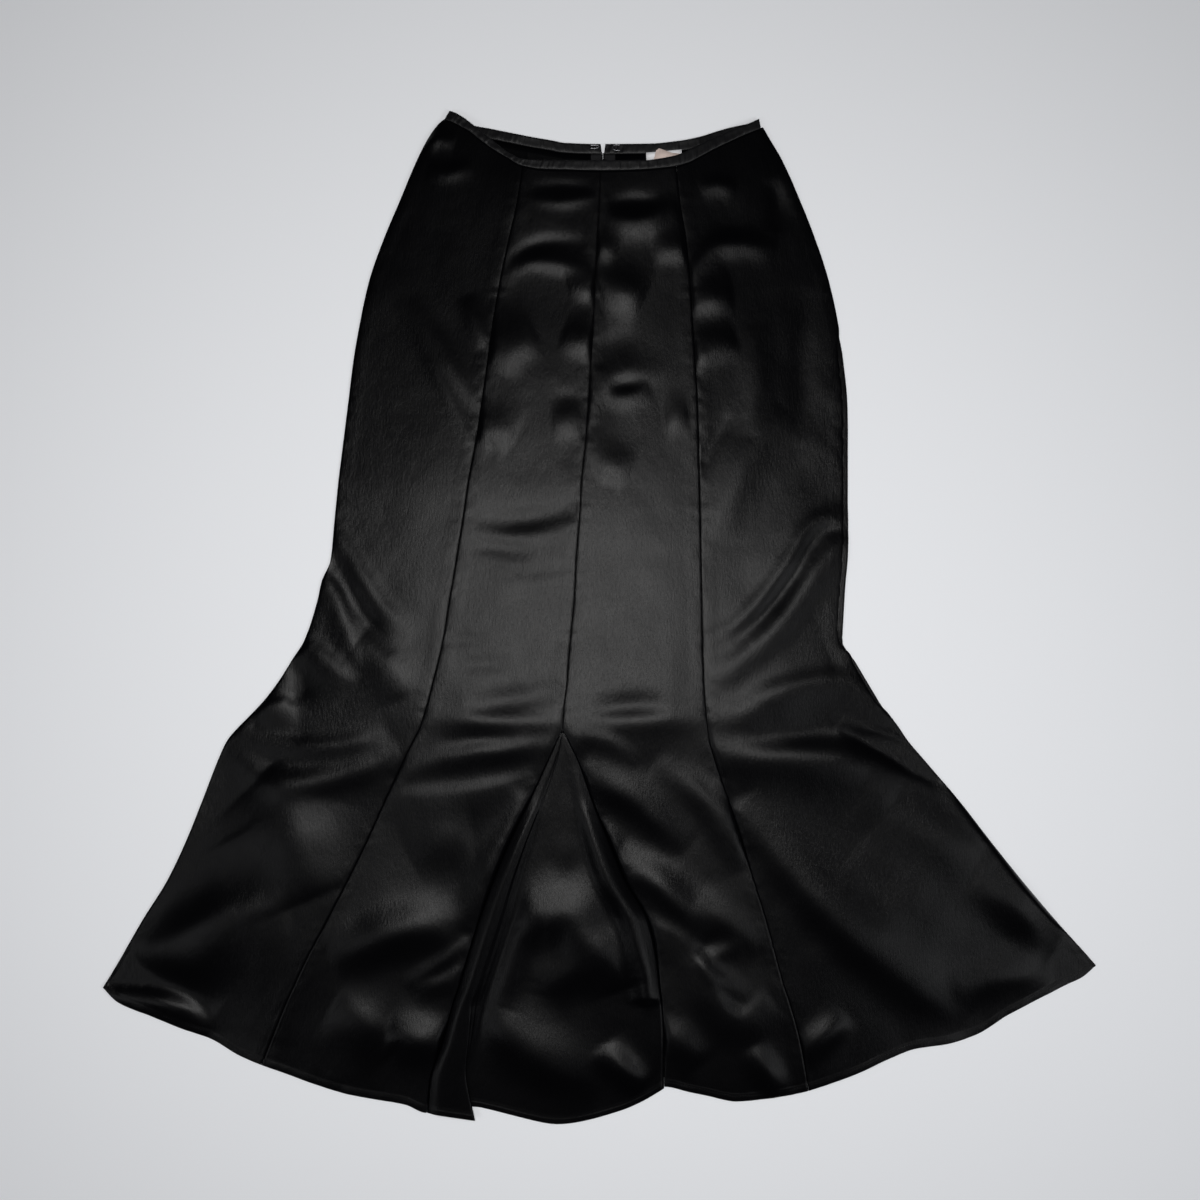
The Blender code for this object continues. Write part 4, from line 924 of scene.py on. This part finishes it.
def rolled_back():
    """Right back gore: flat, then rolled up and over at the edge to meet the front's seam."""
    left = lambda d: seam_a(S_PRIN_R, d) - 4.0
    right = lambda d: seam_a(S_SIDE_R, d) - np.maximum(1.0, 1.2 * (roll_a(d) > 0.3))
    us = across_stations(NB)
    vs = down_stations(NBD)
    x, d = sheet_grid(left, right, lambda q: back_low_a(q) - 0.8, back_hem_a, us, vs)
    u = np.broadcast_to(us, x.shape)
    near = u * (right(d) - left(d))
    lift = np.zeros_like(x)
    for c in BACK_CREASES:
        f = (c[0] - SQUARE_X, c[1] - SQUARE_Y, c[2] - SQUARE_X, c[3] - SQUARE_Y,
             c[4] - SQUARE_X, c[5] - SQUARE_Y, c[6], c[7])
        lift += ridge_a(x, d, f)
    inner = np.minimum(near, (1 - u) * (right(d) - left(d)))
    z = 0.6 + hump_a(x, d) + np.minimum(lift, 0.9) * ease(0, 12, inner)
    # the roll: a half turn at the edge, then back inwards to the seam
    edge_x, edge_d = x[:, -1:], d[:, -1:]
    r = roll_a(edge_d)
    reach = np.clip(r / 5.0, 0.0, 1.0)
    top = 0.6 + (front_a(edge_x - r, edge_d) - 0.4 - 0.6) * reach
    ang = np.linspace(0, np.pi, 9)[1:]
    rad = (top - 0.6) / 2
    wx = edge_x + np.sin(ang) * np.minimum(rad, 1.3) * reach
    wz = 0.6 + rad * (1 - np.cos(ang))
    back_in = np.linspace(0, 1, 6)[1:]
    ix = edge_x - (r - 0.2) * back_in * reach
    iz = top + 0 * back_in
    x = np.concatenate([x, wx, ix], axis=1)
    d = np.concatenate([d, np.repeat(edge_d, len(ang) + len(back_in), axis=1)], axis=1)
    z = np.concatenate([z, wz, iz], axis=1)
    # where there is no roll the extra columns would be doubled up: spread them a hair
    k = np.arange(len(ang) + len(back_in)) + 1
    x[:, -len(k):] = x[:, -len(k):] + (1 - reach) * k * 0.02
    obj = grid_object("satin_back_side_right", x, d, z, SKIN, SATIN)
    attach(obj, BODY)
    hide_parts("back_side_right")
    return obj


back_sr = rolled_back()


# ------------------------------------------------------------------ waist binding
def band_object(name, node, top_rows, low_fn, x_top, x_low, base_fn, count, thick, inner=False):
    """Folded binding: a rounded strip with an edge stitch, closed round its section."""
    s = np.linspace(0, 1, count)
    xa = x_top[0] + s * (x_top[1] - x_top[0])
    xb = x_low[0] + s * (x_low[1] - x_low[0])
    a = np.stack([xa, curve_of(top_rows, 1, xa)], -1)
    b = np.stack([xb, low_fn(xb)], -1)
    prof = []
    for k in range(9):
        f = k / 8
        prof.append((f, 1.0 - 0.30 * math.exp(-((f - 0.06) / 0.05) ** 2) - 0.16 * math.exp(-((f - 0.16) / 0.03) ** 2)))
    ring = [(-0.01, 0.45), (0.0, 0.8)] + [(f, h) for f, h in prof[1:-1]] + [(0.985, 0.9), (1.0, 0.55), (0.985, 0.15), (0.5, 0.02), (0.0, 0.05), (-0.01, 0.2)]
    ring_f = np.array([f for f, h in ring])
    pts_all = b[:, None, :] + ring_f[None, :, None] * (a - b)[:, None, :]
    base_all = base_fn(pts_all[..., 0], pts_all[..., 1])
    verts, rows = [], []
    ruck = 0.30 * value_noise(s * count * 0.37, s * 0 + 2.0, 17.0) + 0.22 * value_noise(s * count * 0.81, s * 0 + 5.0, 9.0)
    ruck = ruck * (1 + 1.2 * (1 - ease(0.02, 0.22, s)))
    for k in range(count):
        row = []
        for j, (f, h) in enumerate(ring):
            p = pts_all[k, j]
            base = float(base_all[k, j])
            wave = ruck[k] * math.sin(math.pi * min(1, max(0, f))) * (1 if h > 0.3 else 0)
            z = base + h * thick + wave
            row.append(len(verts))
            verts.append((p[0] * 0.001, (DROP_0 - p[1]) * 0.001, z * 0.001))
        rows.append(row)
    faces = []
    n = len(ring)
    for k in range(count - 1):
        for j in range(n):
            faces.append((rows[k][j], rows[k + 1][j], rows[k + 1][(j + 1) % n], rows[k][(j + 1) % n]))
    faces.append(tuple(rows[0]))
    faces.append(tuple(reversed(rows[-1])))
    mesh = bpy.data.meshes.new(name)
    mesh.from_pydata(verts, [], faces)
    bm = bmesh.new()
    bm.from_mesh(mesh)
    bmesh.ops.recalc_face_normals(bm, faces=list(bm.faces))
    bm.to_mesh(mesh)
    bm.free()
    for p in mesh.polygons:
        p.use_smooth = True
    obj = bpy.data.objects.new(name, mesh)
    bpy.context.scene.collection.objects.link(obj)
    mesh.materials.append(BINDING)
    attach(obj, BODY)
    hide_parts(node)
    return obj


def front_base(x, d):
    return front_a(x, d) - 1.0


def zero_base(x, d):
    return np.zeros_like(x) + 0.1


band_f = band_object("binding_front", "waistband_front", FRONT_TOP, lambda x: curve_of(FRONT_SEAM, 1, x),
                     (-149.3, 159.0), (-154.5, 160.8), front_base, 300, 1.9)
band_bl = band_object("binding_back_left", "waistband_back_left", BACK_TOP, back_low_a,
                      (-148.3, 1.0), (-153.5, 2.6), zero_base, 150, 1.8)
band_br = band_object("binding_back_right", "waistband_back_right", BACK_TOP, back_low_a,
                      (6.0, 158.0), (4.4, 160.0), zero_base, 150, 1.8)


# ------------------------------------------------------------------ zip
def tape_object(name, node, side):
    ds = np.linspace(43.0, 233.5, 96)
    off = np.array([1.3, 2.2, 3.2, 5.0, 8.0, 11.0, 12.2])
    if side < 0:
        off = -off[::-1]
    d, o = np.meshgrid(ds, off, indexing="ij")
    x = back_mid_a(d) + o
    z = hump_a(x, d) + 1.2 + 0.3 + 0.5 + 0.08 * value_noise(x / 3.0, d / 6.0, 4.0)
    obj = grid_object(name, x, d, z, 0.6, TAPE)
    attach(obj, BODY)
    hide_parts(node)
    return obj


tape_l = tape_object("tape_left", "zip_tape_left", -1)
tape_r = tape_object("tape_right", "zip_tape_right", 1)


def coil_object():
    """Nylon coil of the closed zip: two rows of leaning turns, one mesh."""
    bm = bmesh.new()
    d = 60.5
    while d < 233.0:
        for side in (-1, 1):
            x = float(back_mid_a(np.array([d]))[0]) + side * 0.75
            dd = d + (0.45 if side > 0 else 0.0)
            z = float(hump_a(np.array([x]), np.array([dd]))[0]) + 2.35
            made = bmesh.ops.create_uvsphere(bm, u_segments=8, v_segments=5, radius=1.0)
            bmesh.ops.scale(bm, verts=made["verts"], vec=(0.00095, 0.00033, 0.00045))
            bmesh.ops.translate(bm, verts=made["verts"], vec=(x * 0.001, (DROP_0 - dd) * 0.001, z * 0.001))
        d += 0.95
    mesh = bpy.data.meshes.new("zip_coil")
    bm.to_mesh(mesh)
    bm.free()
    for p in mesh.polygons:
        p.use_smooth = True
    obj = bpy.data.objects.new("zip_coil", mesh)
    bpy.context.scene.collection.objects.link(obj)
    mesh.materials.append(COIL)
    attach(obj, BODY)
    return obj


coil_object()


# ------------------------------------------------------------------ labels, hook and eye
def patch(name, node, outline, z0, thick, mat, bow=0.0):
    bm = bmesh.new()
    pts = [bm.verts.new((x * 0.001, (DROP_0 - d) * 0.001, z0 * 0.001)) for x, d in reversed(outline)]
    bm.faces.new(pts)
    bmesh.ops.subdivide_edges(bm, edges=list(bm.edges), cuts=6, use_grid_fill=True)
    bmesh.ops.triangulate(bm, faces=[f for f in bm.faces if len(f.verts) > 4])
    for v in bm.verts:
        v.co.z += 0.001 * bow * math.sin(v.co.x * 190.0) + 0.0002 * math.sin(v.co.y * 500.0)
    mesh = bpy.data.meshes.new(name)
    bm.to_mesh(mesh)
    bm.free()
    obj = bpy.data.objects.new(name, mesh)
    bpy.context.scene.collection.objects.link(obj)
    mesh.materials.append(mat)
    mod = obj.modifiers.new("skin", "SOLIDIFY")
    mod.thickness = thick * 0.001
    mod.offset = 0.0
    for p in mesh.polygons:
        p.use_smooth = True
    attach(obj, BODY)
    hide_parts(node)
    return obj


label = patch("label_blank", "label", [(46.5, 41.5), (82.0, 38.5), (82.8, 60.0), (47.5, 62.5)],
              2.9, 0.4, LABEL_WHITE, 0.25)
care = patch("care_tab_blank", "care_tab",
             [(53.8, 50.0), (56.5, 39.6), (59.5, 37.5), (72.0, 42.0), (81.0, 43.0), (80.5, 54.0), (54.5, 56.5)],
             4.1, 0.4, CARE_CREAM, 0.2)

for node_name, mat in (("zip_slider", ENAMEL), ("zip_pull_tab", ENAMEL), ("hook", NICKEL), ("eye", NICKEL)):
    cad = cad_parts[node_name]
    for k in range(max(1, len(cad.data.materials))):
        if len(cad.data.materials) == 0:
            cad.data.materials.append(mat)
        cad.material_slots[k].material = mat


# ------------------------------------------------------------------ stitches
def stitch_line(name, points, pitch, length, width, lift=0.0):
    """Machine stitches along a path of (x, drop, z) points, mm: short rounded bars in one mesh."""
    pts = np.array(points, dtype=float)
    seg = np.hypot(np.diff(pts[:, 0]), np.diff(pts[:, 1]))
    run = np.concatenate([[0], np.cumsum(seg)])
    n = int(run[-1] / pitch)
    verts, faces = [], []
    for k in range(n):
        a, b = k * pitch, k * pitch + length
        if b > run[-1]:
            break
        pa = [np.interp(a, run, pts[:, j]) for j in range(3)]
        pb = [np.interp(b, run, pts[:, j]) for j in range(3)]
        ex, ed = pb[0] - pa[0], pb[1] - pa[1]
        q = math.hypot(ex, ed) or 1.0
        nx, nd = -ed / q * width / 2, ex / q * width / 2
        base = len(verts)
        for p, w, h in ((pa, 0.6, 0.0), (((pa[0] + pb[0]) / 2, (pa[1] + pb[1]) / 2, (pa[2] + pb[2]) / 2), 1.0, 0.16), (pb, 0.6, 0.0)):
            for side in (-1, 0, 1):
                z = p[2] + lift + h + (0.10 if side == 0 else 0.0)
                verts.append(((p[0] + side * nx * w) * 0.001, (DROP_0 - p[1] - side * nd * w) * 0.001, z * 0.001))
        for r in range(2):
            for c in range(2):
                i = base + r * 3 + c
                faces.append((i, i + 1, i + 4, i + 3))
    mesh = bpy.data.meshes.new(name)
    mesh.from_pydata(verts, [], faces)
    bm = bmesh.new()
    bm.from_mesh(mesh)
    bmesh.ops.recalc_face_normals(bm, faces=list(bm.faces))
    bm.to_mesh(mesh)
    bm.free()
    obj = bpy.data.objects.new(name, mesh)
    bpy.context.scene.collection.objects.link(obj)
    mesh.materials.append(THREAD)
    mod = obj.modifiers.new("skin", "SOLIDIFY")
    mod.thickness = 0.00012
    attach(obj, BODY)
    return obj


xs = np.concatenate([np.linspace(-490, -174, 400), [-173.5]])
line = np.stack([xs, hem_edge(xs) - 5.8, xs * 0], -1)
line[:, 2] = front_a(line[:, 0], line[:, 1]) + 0.28
stitch_line("hem_stitch_left", line, 2.6, 1.9, 0.42)
xs = np.linspace(66, 490, 520)
line = np.stack([xs, hem_edge(xs) - 5.8, xs * 0], -1)
line[:, 2] = front_a(line[:, 0], line[:, 1]) + 0.28
stitch_line("hem_stitch_right", line, 2.6, 1.9, 0.42)


# ------------------------------------------------------------------ floor, light, camera
def floor():
    mesh = bpy.data.meshes.new("floor")
    bm = bmesh.new()
    bmesh.ops.create_grid(bm, x_segments=2, y_segments=2, size=4.0)
    bm.to_mesh(mesh)
    bm.free()
    obj = bpy.data.objects.new("floor", mesh)
    obj.location.z = -0.0002
    bpy.context.scene.collection.objects.link(obj)
    mat, nt, bsdf = new_material("floor_pale")
    bsdf.inputs["Base Color"].default_value = (0.80, 0.815, 0.84, 1.0)
    bsdf.inputs["Roughness"].default_value = 0.9
    bsdf.inputs["Specular IOR Level"].default_value = 0.1
    mesh.materials.append(mat)


floor()


def area_light(name, where, target, size, energy, colour=(1, 1, 1), size_y=None):
    data = bpy.data.lights.new(name, "AREA")
    data.energy = energy
    data.color = colour
    data.size = size
    if size_y:
        data.shape = "RECTANGLE"
        data.size_y = size_y
    obj = bpy.data.objects.new(name, data)
    obj.location = where
    aim = Vector(target) - Vector(where)
    obj.rotation_euler = aim.to_track_quat("-Z", "Y").to_euler()
    bpy.context.scene.collection.objects.link(obj)
    return obj


CAM_H = 1.5
area_light("key_over", (-0.03, 0.02, 1.56), (-0.03, 0.02, 0.0), 0.46, 18.5, (1.0, 0.99, 0.98))
area_light("side_right", (1.25, -0.6, 1.5), (0.2, -0.2, 0.0), 0.6, 7.5, (0.97, 0.98, 1.0))
area_light("side_left", (-1.25, -0.7, 1.5), (-0.2, -0.2, 0.0), 0.6, 4.0, (0.97, 0.98, 1.0))

world = bpy.data.worlds.new("studio")
bpy.context.scene.world = world
world.use_nodes = True
world.node_tree.nodes["Background"].inputs["Color"].default_value = (0.9, 0.93, 1.0, 1.0)
world.node_tree.nodes["Background"].inputs["Strength"].default_value = 0.05

cam_data = bpy.data.cameras.new("camera")
cam = bpy.data.objects.new("camera", cam_data)
bpy.context.scene.collection.objects.link(cam)
bpy.context.scene.camera = cam
cam.location = (0.0005, 0.0175, CAM_H)
cam.rotation_euler = (0.0, 0.0, 0.0)
cam_data.sensor_fit = "HORIZONTAL"
cam_data.sensor_width = 36.0
cam_data.lens = 36.0 * CAM_H / 1.2
cam_data.clip_end = 50.0
bpy.context.scene.view_settings.view_transform = "Standard"
